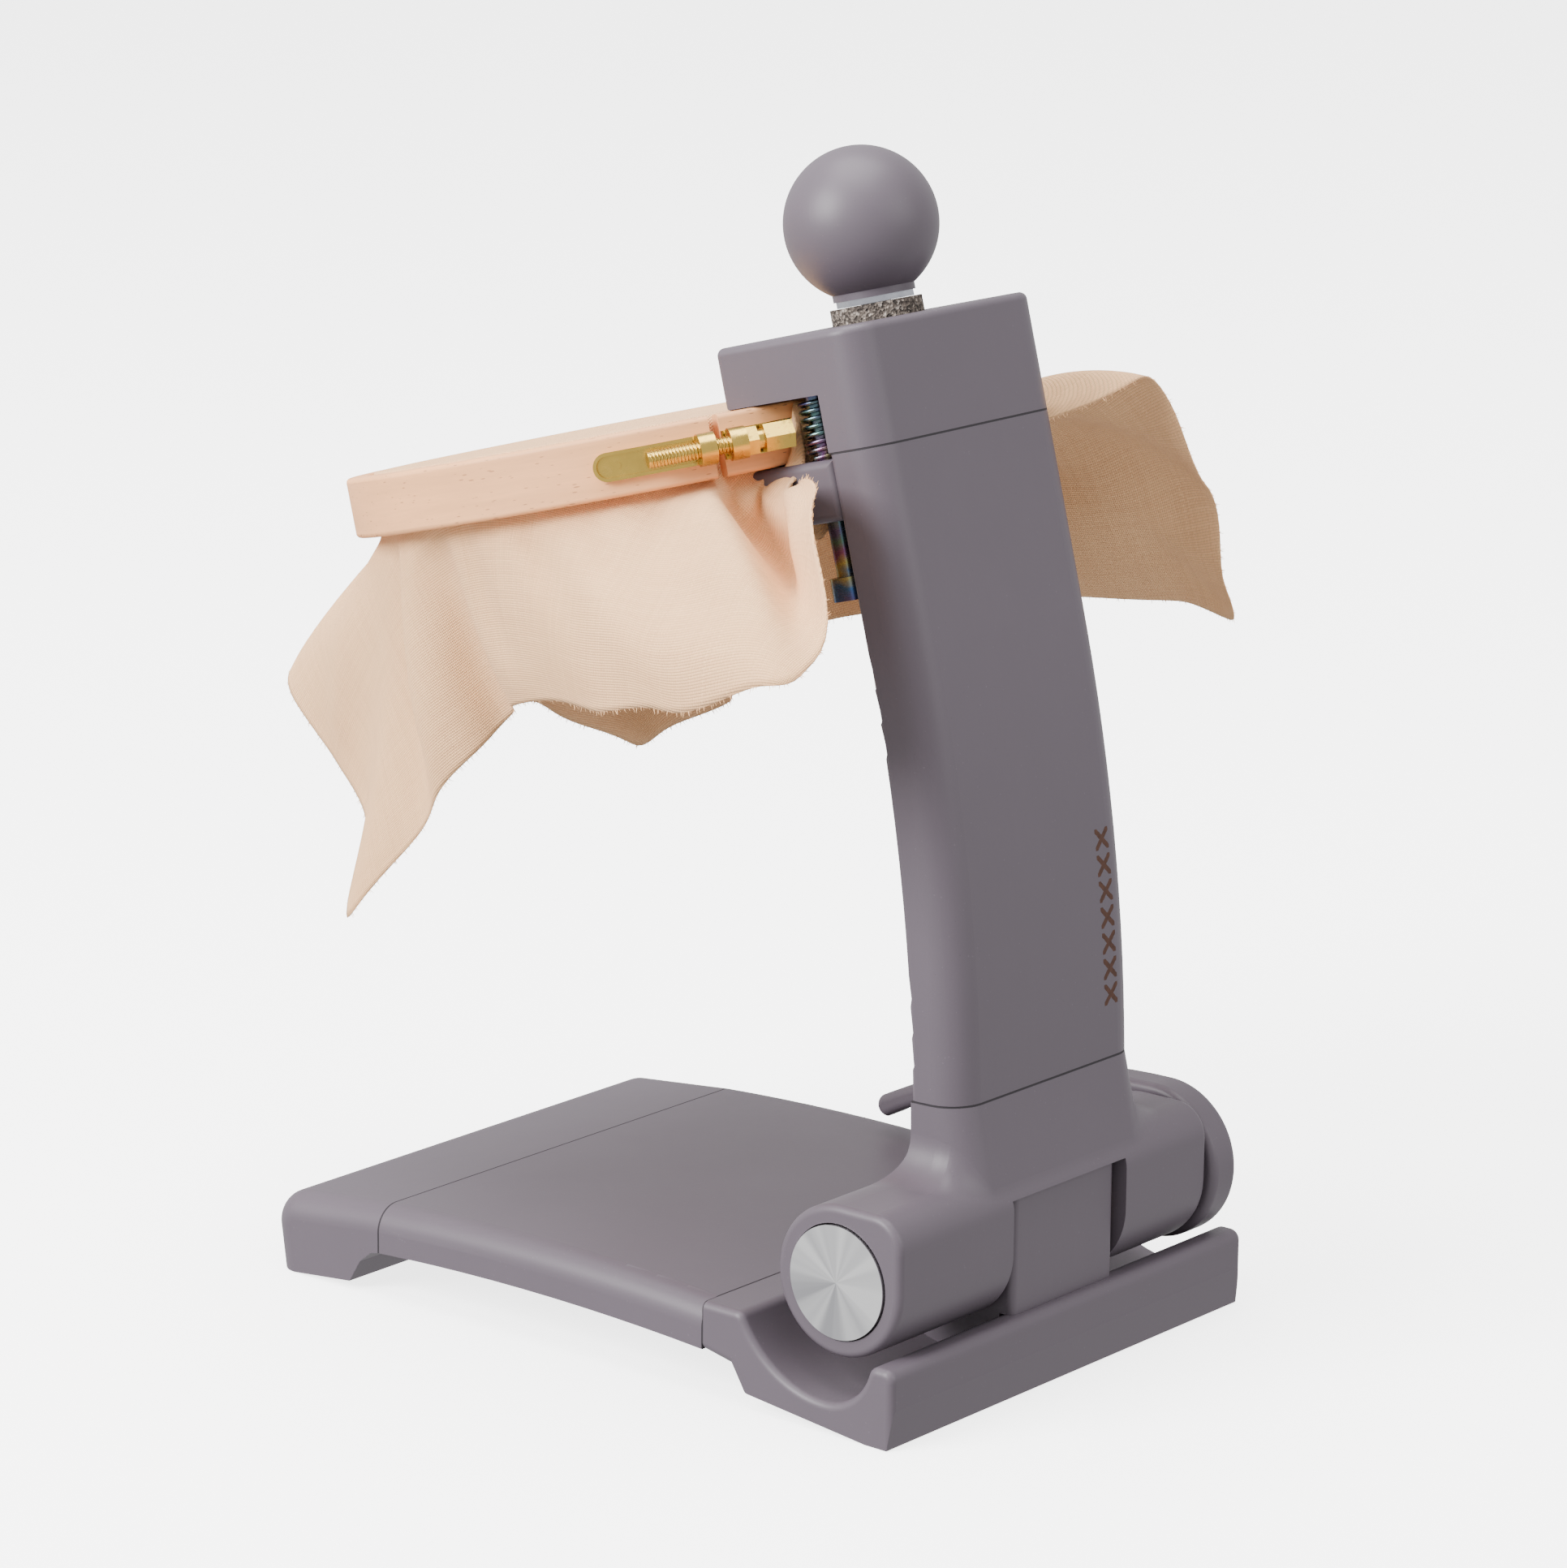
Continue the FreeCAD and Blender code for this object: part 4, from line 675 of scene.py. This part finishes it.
# the free cloth round the hoop: angle, slope at the ring, slope at the hem, and where and how fast it bends
HANG = (
    (0, 52, 80, 0.5, 1.0),
    (20, 40, 84, 0.4, 0.8),
    (36, 26, 66, 0.5, 1.0),
    (50, 6, 52, 0.5, 1.0),
    (60, 76, -40, 0.42, 0.4),
    (66, 95, -85, 0.36, 0.3),
    (90, 95, -85, 0.36, 0.3),
    (112, 40, -60, 0.35, 0.5),
    (120, -35, 25, 0.5, 1.0),
    (130, -12, 55, 0.5, 1.0),
    (140, 14, 70, 0.5, 1.0),
    (152, 22, 64, 0.5, 1.0),
    (165, 34, 62, 0.5, 1.0),
    (180, 52, 80, 0.5, 1.0),
    (195, 40, 76, 0.5, 1.0),
    (212, 62, 84, 0.5, 1.0),
    (230, 34, 66, 0.5, 1.0),
    (245, 44, 76, 0.5, 1.0),
    (258, 58, 82, 0.5, 1.0),
    (272, 34, 72, 0.5, 1.0),
    (290, 22, 46, 0.5, 1.0),
    (304, 40, 66, 0.5, 1.0),
    (320, 58, 84, 0.4, 0.8),
    (334, 46, 80, 0.5, 1.0),
    (348, 62, 84, 0.5, 1.0),
    (360, 52, 80, 0.5, 1.0),
)
# stretches of the hem that something holds up: from, to, how firmly
HEM_HELD = (
    (47, 53, 1.0),
    (62, 70, 1.0),
    (110, 127, 1.0),
    (136.5, 143.5, 1.0),
    (227, 233, 0.7),
    (284, 296, 0.4),
    (318, 322, 0.7),
)


class HangLinen(bpy.types.Operator):
    """Stretches the linen over the inner ring and lets its free part fall, then frays its hem"""
    bl_idname = "hoop_stand.hang_linen"
    bl_label = "Hang the linen"

    columns = 256
    top_rows = (0.004, 0.02, 0.04, 0.056, 0.066, 0.0715, 0.0731)
    free_rows = 20

    def execute(self, context):
        settings = context.scene.linen
        low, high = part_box("hoop_inner_ring")
        self.inner = (high.x - low.x) / 2 + 0.00025
        outer_low, outer_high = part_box("hoop_outer_ring")
        self.outer = (outer_high.x - outer_low.x) / 2
        self.half = 0.008
        self.exit_flat = self.inner + 2 * self.half
        cloth = self.weave(settings)
        self.fall(cloth, settings)
        self.finish_cloth(cloth, settings)
        fringe = self.fray(cloth, settings)
        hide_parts("cloth_top", "cloth_wrap", "cloth_hanging")
        return {"FINISHED"}

    def flat_reach(self, angle, settings):
        """How far the cloth's edge is from its middle, at an angle on the hoop."""
        turn = (angle - settings.corner_angle) % (math.pi / 2) - math.pi / 4
        return settings.side / 2 / math.cos(turn)

    def held_by_jaws(self, angle):
        """1 where the jaws hold the hoop, fading to 0 beside them."""
        away = abs((angle - math.pi / 2 + math.pi) % (2 * math.pi) - math.pi)
        return max(0.0, min(1.0, (math.radians(29) - away) / math.radians(7)))

    def hung(self, angle, reach, whole):
        """Where a point starts, from its angle and its distance from the middle of the flat cloth."""
        if reach <= self.inner:
            radius, height = reach, self.half + 0.0001
        elif reach <= self.exit_flat:
            radius, height = self.inner, self.half - (reach - self.inner)
        else:
            radius, height = self.free_place(angle, reach - self.exit_flat, whole - self.exit_flat)
        return Vector((radius * math.cos(angle), radius * math.sin(angle), height))

    def slopes(self, angle):
        """The start and end slope of the free cloth at an angle, and where and how fast it bends."""
        turn = math.degrees(angle) % 360
        for first, second in zip(HANG, HANG[1:]):
            if first[0] <= turn <= second[0]:
                share = (turn - first[0]) / (second[0] - first[0])
                share = share * share * (3 - 2 * share)
                return [low + (high - low) * share for low, high in zip(first[1:], second[1:])]
        raise ValueError("the hang has no slope at this angle")

    def free_place(self, angle, beyond, whole):
        """Radius and height of a free point that lies a distance beyond the rings."""
        start, end, centre, width = self.slopes(angle)
        radius, height = self.inner, -self.half - 0.0006
        steps = 24
        for step in range(steps):
            share = beyond / whole * (step + 0.5) / steps
            bent = max(0.0, min(1.0, (share - centre) / width + 0.5))
            slope = math.radians(start + (end - start) * bent)
            radius += beyond / steps * math.cos(slope)
            height -= beyond / steps * math.sin(slope)
        held = self.held_by_jaws(angle)
        if held > 0:
            shelf = self.outer - self.inner + 0.0012
            rise = 2 * self.half + 0.001
            if beyond < shelf:
                folded = (self.inner + beyond, -self.half - 0.0004)
            elif beyond < shelf + rise:
                folded = (self.inner + shelf, -self.half - 0.0004 + beyond - shelf)
            else:
                folded = (self.inner + shelf + 0.0012, self.half + 0.0006 - (beyond - shelf - rise) * 0.98)
            radius = radius * (1 - held) + folded[0] * held
            height = height * (1 - held) + folded[1] * held
        return radius, height

    def weave(self, settings):
        """The cloth as a mesh in the hoop's frame, with its flat shape kept beside it."""
        mesh = bpy.data.meshes.new("linen_cloth")
        points, flats = [], []
        rows = [0.0] + list(self.top_rows) + [self.inner]
        rows += [self.inner + self.half * share for share in (0.5, 1.0, 1.5)] + [self.exit_flat]
        self.pinned_rows = len(rows)
        total = len(rows) + self.free_rows
        for index in range(1, total):
            for column in range(self.columns):
                angle = 2 * math.pi * column / self.columns
                if index < len(rows):
                    reach = rows[index]
                else:
                    share = (index - len(rows) + 1) / self.free_rows
                    reach = self.exit_flat + (self.flat_reach(angle, settings) - self.exit_flat) * share
                points.append(self.hung(angle, reach, self.flat_reach(angle, settings)))
                flats.append((reach * math.cos(angle), reach * math.sin(angle)))
        faces = []
        for ring in range(total - 2):
            for column in range(self.columns):
                after = (column + 1) % self.columns
                faces.append((ring * self.columns + column, (ring + 1) * self.columns + column,
                              (ring + 1) * self.columns + after, ring * self.columns + after))
        mesh.from_pydata(points, [], faces)
        mesh.update()
        layer = mesh.uv_layers.new(name="flat")
        for loop in mesh.loops:
            layer.data[loop.index].uv = flats[loop.vertex_index]
        cloth = bpy.data.objects.new("linen_cloth", mesh)
        bpy.context.scene.collection.objects.link(cloth)
        self.flats = flats
        return cloth

    def fall(self, cloth, settings):
        """Lets the free part fall under its own weight, ten times its size so that the solver is steady."""
        scale = 10.0
        context = bpy.context
        to_world = HOOP_FRAME.to_3x3().to_4x4()
        cloth.data.transform(Matrix.Scale(scale, 4) @ to_world)
        group = cloth.vertex_groups.new(name="held")
        held_count = (self.pinned_rows - 1) * self.columns
        group.add(list(range(held_count)), 1.0, "REPLACE")
        for index in range(held_count, len(cloth.data.vertices)):
            angle = 2 * math.pi * (index % self.columns) / self.columns
            row = index // self.columns + 1 - self.pinned_rows
            hem = row >= self.free_rows - 2
            if self.held_by_jaws(angle) > 0.95:
                group.add([index], 1.0, "REPLACE")
            for first, last, firmness in HEM_HELD:
                if hem and first <= math.degrees(angle) <= last:
                    group.add([index], firmness, "REPLACE")
        cloth.shape_key_add(name="start")
        flat_key = cloth.shape_key_add(name="flat")
        for index, (x_part, y_part) in enumerate(self.flats):
            flat_key.data[index].co = (x_part * scale, y_part * scale, 0)
        solids = self.solids(scale, to_world)
        drape = cloth.modifiers.new("drape", "CLOTH")
        drape.settings.rest_shape_key = flat_key
        drape.settings.vertex_group_mass = "held"
        drape.settings.quality = 7
        drape.settings.mass = 0.25
        drape.settings.tension_stiffness = 30
        drape.settings.compression_stiffness = 30
        drape.settings.shear_stiffness = 12
        drape.settings.bending_stiffness = 9.0
        drape.settings.tension_damping = 8
        drape.settings.compression_damping = 8
        drape.settings.bending_damping = 1.0
        drape.settings.air_damping = 1.5
        drape.collision_settings.use_collision = True
        drape.collision_settings.distance_min = 0.006
        drape.collision_settings.use_self_collision = True
        drape.collision_settings.self_distance_min = 0.006
        drape.collision_settings.collision_quality = 3
        drape.point_cache.frame_start = 1
        drape.point_cache.frame_end = settings.frames
        scene = context.scene
        for number in range(1, settings.frames + 1):
            scene.frame_set(number)
        graph = context.evaluated_depsgraph_get()
        fallen = bpy.data.meshes.new_from_object(cloth.evaluated_get(graph))
        old = cloth.data
        cloth.modifiers.clear()
        cloth.data = fallen
        bpy.data.meshes.remove(old)
        for solid in solids:
            bpy.data.objects.remove(solid)
        scene.frame_set(1)
        cloth.data.transform((Matrix.Scale(scale, 4) @ to_world).inverted())

    def solids(self, scale, to_world):
        """Plain stand-ins that the cloth may not pass: the outer ring, the jaws and the arm."""
        made = []
        deselect()
        bpy.ops.mesh.primitive_cylinder_add(vertices=96, radius=self.outer + 0.0002,
                                            depth=2 * self.half - 0.0006, end_fill_type="NOTHING",
                                            location=(0, 0, 0))
        ring = bpy.context.object
        bpy.ops.object.mode_set(mode="EDIT")
        bpy.ops.mesh.select_all(action="SELECT")
        bpy.ops.mesh.extrude_region_move()
        bpy.ops.transform.resize(value=((self.inner + 0.0008) / self.outer,) * 2 + (1,))
        bpy.ops.object.mode_set(mode="OBJECT")
        bpy.ops.object.mode_set(mode="EDIT")
        bpy.ops.mesh.select_all(action="DESELECT")
        bpy.ops.mesh.select_non_manifold(extend=False, use_wire=False, use_multi_face=False,
                                         use_non_contiguous=False, use_verts=False)
        bpy.ops.mesh.bridge_edge_loops()
        bpy.ops.mesh.select_all(action="SELECT")
        bpy.ops.mesh.normals_make_consistent(inside=False)
        bpy.ops.object.mode_set(mode="OBJECT")
        made.append(ring)
        nose = (HOOP_FRAME.inverted() @ middle_of("guide_bolt_1")).y
        stop = nose + 0.0076
        blocks = (((0, nose - 0.0075, -0.0205), (0.074, 0.0300, 0.0145)),
                  ((0, nose - 0.0075, 0.020), (0.076, 0.0310, 0.0235)),
                  ((0, stop + 0.0082, -0.06), (0.077, 0.0156, 0.21)))
        for place, size in blocks:
            deselect()
            bpy.ops.mesh.primitive_cube_add(size=1, location=place, scale=size)
            bpy.ops.object.transform_apply(location=True, rotation=True, scale=True)
            made.append(bpy.context.object)
        for solid in made:
            solid.data.transform(Matrix.Scale(scale, 4) @ to_world)
            solid.modifiers.new("solid", "COLLISION")
            solid.collision.thickness_outer = 0.006
            solid.collision.cloth_friction = 8
        return made

    def finish_cloth(self, cloth, settings):
        """Smooths the cloth, gives it its thickness and its weave."""
        cloth.data.transform(HOOP_FRAME)
        deselect()
        cloth.select_set(True)
        bpy.context.view_layer.objects.active = cloth
        bpy.ops.object.shade_smooth()
        smooth = cloth.modifiers.new("smooth", "SUBSURF")
        smooth.levels = 1
        smooth.render_levels = 1
        smooth.boundary_smooth = "PRESERVE_CORNERS"
        apply_modifiers(cloth)
        self.close_middle(cloth)
        self.edge = self.hem_points(cloth)
        wall = cloth.modifiers.new("wall", "SOLIDIFY")
        wall.thickness = settings.thickness
        wall.offset = 0
        apply_modifiers(cloth)
        finish_piece(cloth, "linen_cloth", linen_finish(settings), "hoop")

    def close_middle(self, cloth):
        """Closes the small hole at the middle of the stretched cloth with a fan of faces."""
        shape = bmesh.new()
        shape.from_mesh(cloth.data)
        layer = shape.loops.layers.uv["flat"]
        middle = HOOP_FRAME @ Vector((0, 0, self.half + 0.0001))
        hole = [edge for edge in shape.edges if edge.is_boundary
                and (edge.verts[0].co - middle).length < 2 * self.top_rows[0]]
        made = bmesh.ops.holes_fill(shape, edges=hole, sides=0)["faces"]
        poked = bmesh.ops.poke(shape, faces=made)["faces"]
        for face in poked:
            for loop in face.loops:
                local = HOOP_FRAME.inverted() @ loop.vert.co
                loop[layer].uv = (local.x, local.y)
            face.smooth = True
        shape.to_mesh(cloth.data)
        shape.free()

    def hem_points(self, cloth):
        """The hem's points, their outward direction along the cloth and their flat places."""
        shape = bmesh.new()
        shape.from_mesh(cloth.data)
        layer = shape.loops.layers.uv["flat"]
        points = []
        for edge in shape.edges:
            if not edge.is_boundary:
                continue
            face = edge.link_faces[0]
            middle = (edge.verts[0].co + edge.verts[1].co) / 2
            outward = middle - face.calc_center_median()
            along = (edge.verts[1].co - edge.verts[0].co).normalized()
            outward = (outward - along * outward.dot(along)).normalized()
            flat = face.loops[0][layer].uv.copy()
            first, second = (vertex.co.copy() for vertex in edge.verts)
            points.append((first, second, outward, face.normal.copy(), flat))
        shape.free()
        return points

    def fray(self, cloth, settings):
        """Loose yarn ends, a few to each stretch of the hem."""
        chance = random.Random(7)
        points, faces, flats = [], [], []
        for first, second, outward, normal, flat in self.edge:
            stretch = (second - first).length
            for _ in range(max(1, round(stretch / 0.0009))):
                root = first.lerp(second, chance.random()) - outward * 0.0004
                reach = settings.fray * chance.uniform(0.25, 1.0)
                along = (second - first).normalized()
                lean = along * chance.uniform(-0.35, 0.35) + normal * chance.uniform(-0.3, 0.3)
                tip = root + (outward + lean) * reach
                bend = root.lerp(tip, 0.5) + normal * chance.uniform(-0.0002, 0.0002)
                width = along * YARN_RADIUS
                depth = normal * YARN_RADIUS
                start = len(points)
                for place, thick in ((root, 1.0), (bend, 0.8), (tip, 0.3)):
                    points += [place + width * thick, place - width * thick * 0.5 + depth * thick,
                               place - width * thick * 0.5 - depth * thick]
                for ring in (0, 3):
                    for corner in range(3):
                        after = (corner + 1) % 3
                        faces.append((start + ring + corner, start + ring + after, start + ring + 3 + after,
                                      start + ring + 3 + corner))
                faces += [(start + 2, start + 1, start), (start + 6, start + 7, start + 8)]
                flats += [flat] * 9
        mesh = bpy.data.meshes.new("linen_fray")
        mesh.from_pydata(points, [], faces)
        mesh.update()
        layer = mesh.uv_layers.new(name="flat")
        for loop in mesh.loops:
            layer.data[loop.index].uv = flats[loop.vertex_index]
        fringe = bpy.data.objects.new("linen_fray", mesh)
        bpy.context.scene.collection.objects.link(fringe)
        return finish_piece(fringe, "linen_fray", cloth.data.materials[0], "hoop")


class SetStage(bpy.types.Operator):
    """Sets the floor, the soft lights and the camera"""
    bl_idname = "hoop_stand.set_stage"
    bl_label = "Set the stage"

    def execute(self, context):
        settings = context.scene.stage
        self.floor()
        self.camera(context, settings)
        self.lights(context)
        return {"FINISHED"}

    def floor(self):
        deselect()
        bpy.ops.mesh.primitive_plane_add(size=12, location=(0, 0, -0.0002))
        floor = bpy.context.object
        floor.name = "studio_floor"
        paper = Finish("studio_paper")
        tooth = paper.noise(paper.place(), 900, 2)
        floor.data.materials.append(paper.shade(Base_Color=(0.90, 0.90, 0.90), Roughness=0.9,
                                                Emission_Color=(1.0, 1.0, 1.0), Emission_Strength=3.2,
                                                Specular_IOR_Level=0.1, Normal=paper.bump(tooth, 0.00002)))
        floor.visible_diffuse = False
        floor.visible_glossy = False

    def camera(self, context, settings):
        heading, pitch, roll = settings.heading, settings.pitch, settings.roll
        view = -Vector((math.cos(heading) * math.cos(pitch), math.sin(heading) * math.cos(pitch),
                        math.sin(pitch)))
        right = view.cross(Vector((0, 0, 1))).normalized()
        upward = right.cross(view)
        turned_right = right * math.cos(roll) + upward * math.sin(roll)
        turned_up = upward * math.cos(roll) - right * math.sin(roll)
        data = bpy.data.cameras.new("studio_camera")
        data.lens = settings.lens
        data.sensor_width = 36
        data.clip_start = 0.05
        data.clip_end = 30
        camera = bpy.data.objects.new("studio_camera", data)
        context.scene.collection.objects.link(camera)
        camera.matrix_world = (Matrix.Translation(settings.camera_place)
                               @ Matrix((turned_right, turned_up, -view)).transposed().to_4x4())
        context.scene.camera = camera

    def lights(self, context):
        world = bpy.data.worlds.new("studio")
        context.scene.world = world
        world.use_nodes = True
        world.node_tree.nodes["Background"].inputs["Color"].default_value = (1, 1, 1, 1)
        world.node_tree.nodes["Background"].inputs["Strength"].default_value = 1.0
        for name, place, size, power in (
                ("key", (1.9, -0.75, 1.35), 1.2, 130),
                ("rear fill", (-0.6, 2.3, 1.3), 1.6, 22),
                ("top", (0.1, -0.3, 2.2), 1.8, 80)):
            data = bpy.data.lights.new(name, "AREA")
            data.size = size
            data.energy = power
            light = bpy.data.objects.new(name, data)
            context.scene.collection.objects.link(light)
            aim = Vector((0, -0.05, 0.12)) - Vector(place)
            turn = aim.to_track_quat("-Z", "Y").to_matrix().to_4x4()
            light.matrix_world = Matrix.Translation(place) @ turn


OPERATORS = (PaintStand, PaintHardware, PaintHoop, MakeThreads, HangLinen, SetStage)


class HoopStandPanel(bpy.types.Panel):
    """Lists the steps that finish the stand"""
    bl_idname = "VIEW3D_PT_hoop_stand"
    bl_label = "Hoop Stand"
    bl_space_type = "VIEW_3D"
    bl_region_type = "UI"
    bl_category = "Hoop Stand"

    def draw(self, context):
        layout = self.layout
        for group in (context.scene.stand_finish, context.scene.linen, context.scene.stage):
            box = layout.box()
            for name in group.__annotations__:
                box.prop(group, name)
        for operator in OPERATORS:
            layout.operator(operator.bl_idname)


SETTINGS = {"stand_finish": StandFinishSettings, "linen": LinenSettings, "stage": StageSettings}
CLASSES = (*SETTINGS.values(), *OPERATORS, HoopStandPanel)


def register():
    for entry in CLASSES:
        bpy.utils.register_class(entry)
    for name, group in SETTINGS.items():
        setattr(bpy.types.Scene, name, bpy.props.PointerProperty(type=group))


def unregister():
    for name in SETTINGS:
        delattr(bpy.types.Scene, name)
    for entry in reversed(CLASSES):
        bpy.utils.unregister_class(entry)


def main():
    register()
    for operator in OPERATORS:
        family, step = operator.bl_idname.split(".")
        getattr(getattr(bpy.ops, family), step)()


if __name__ == "__main__":
    main()
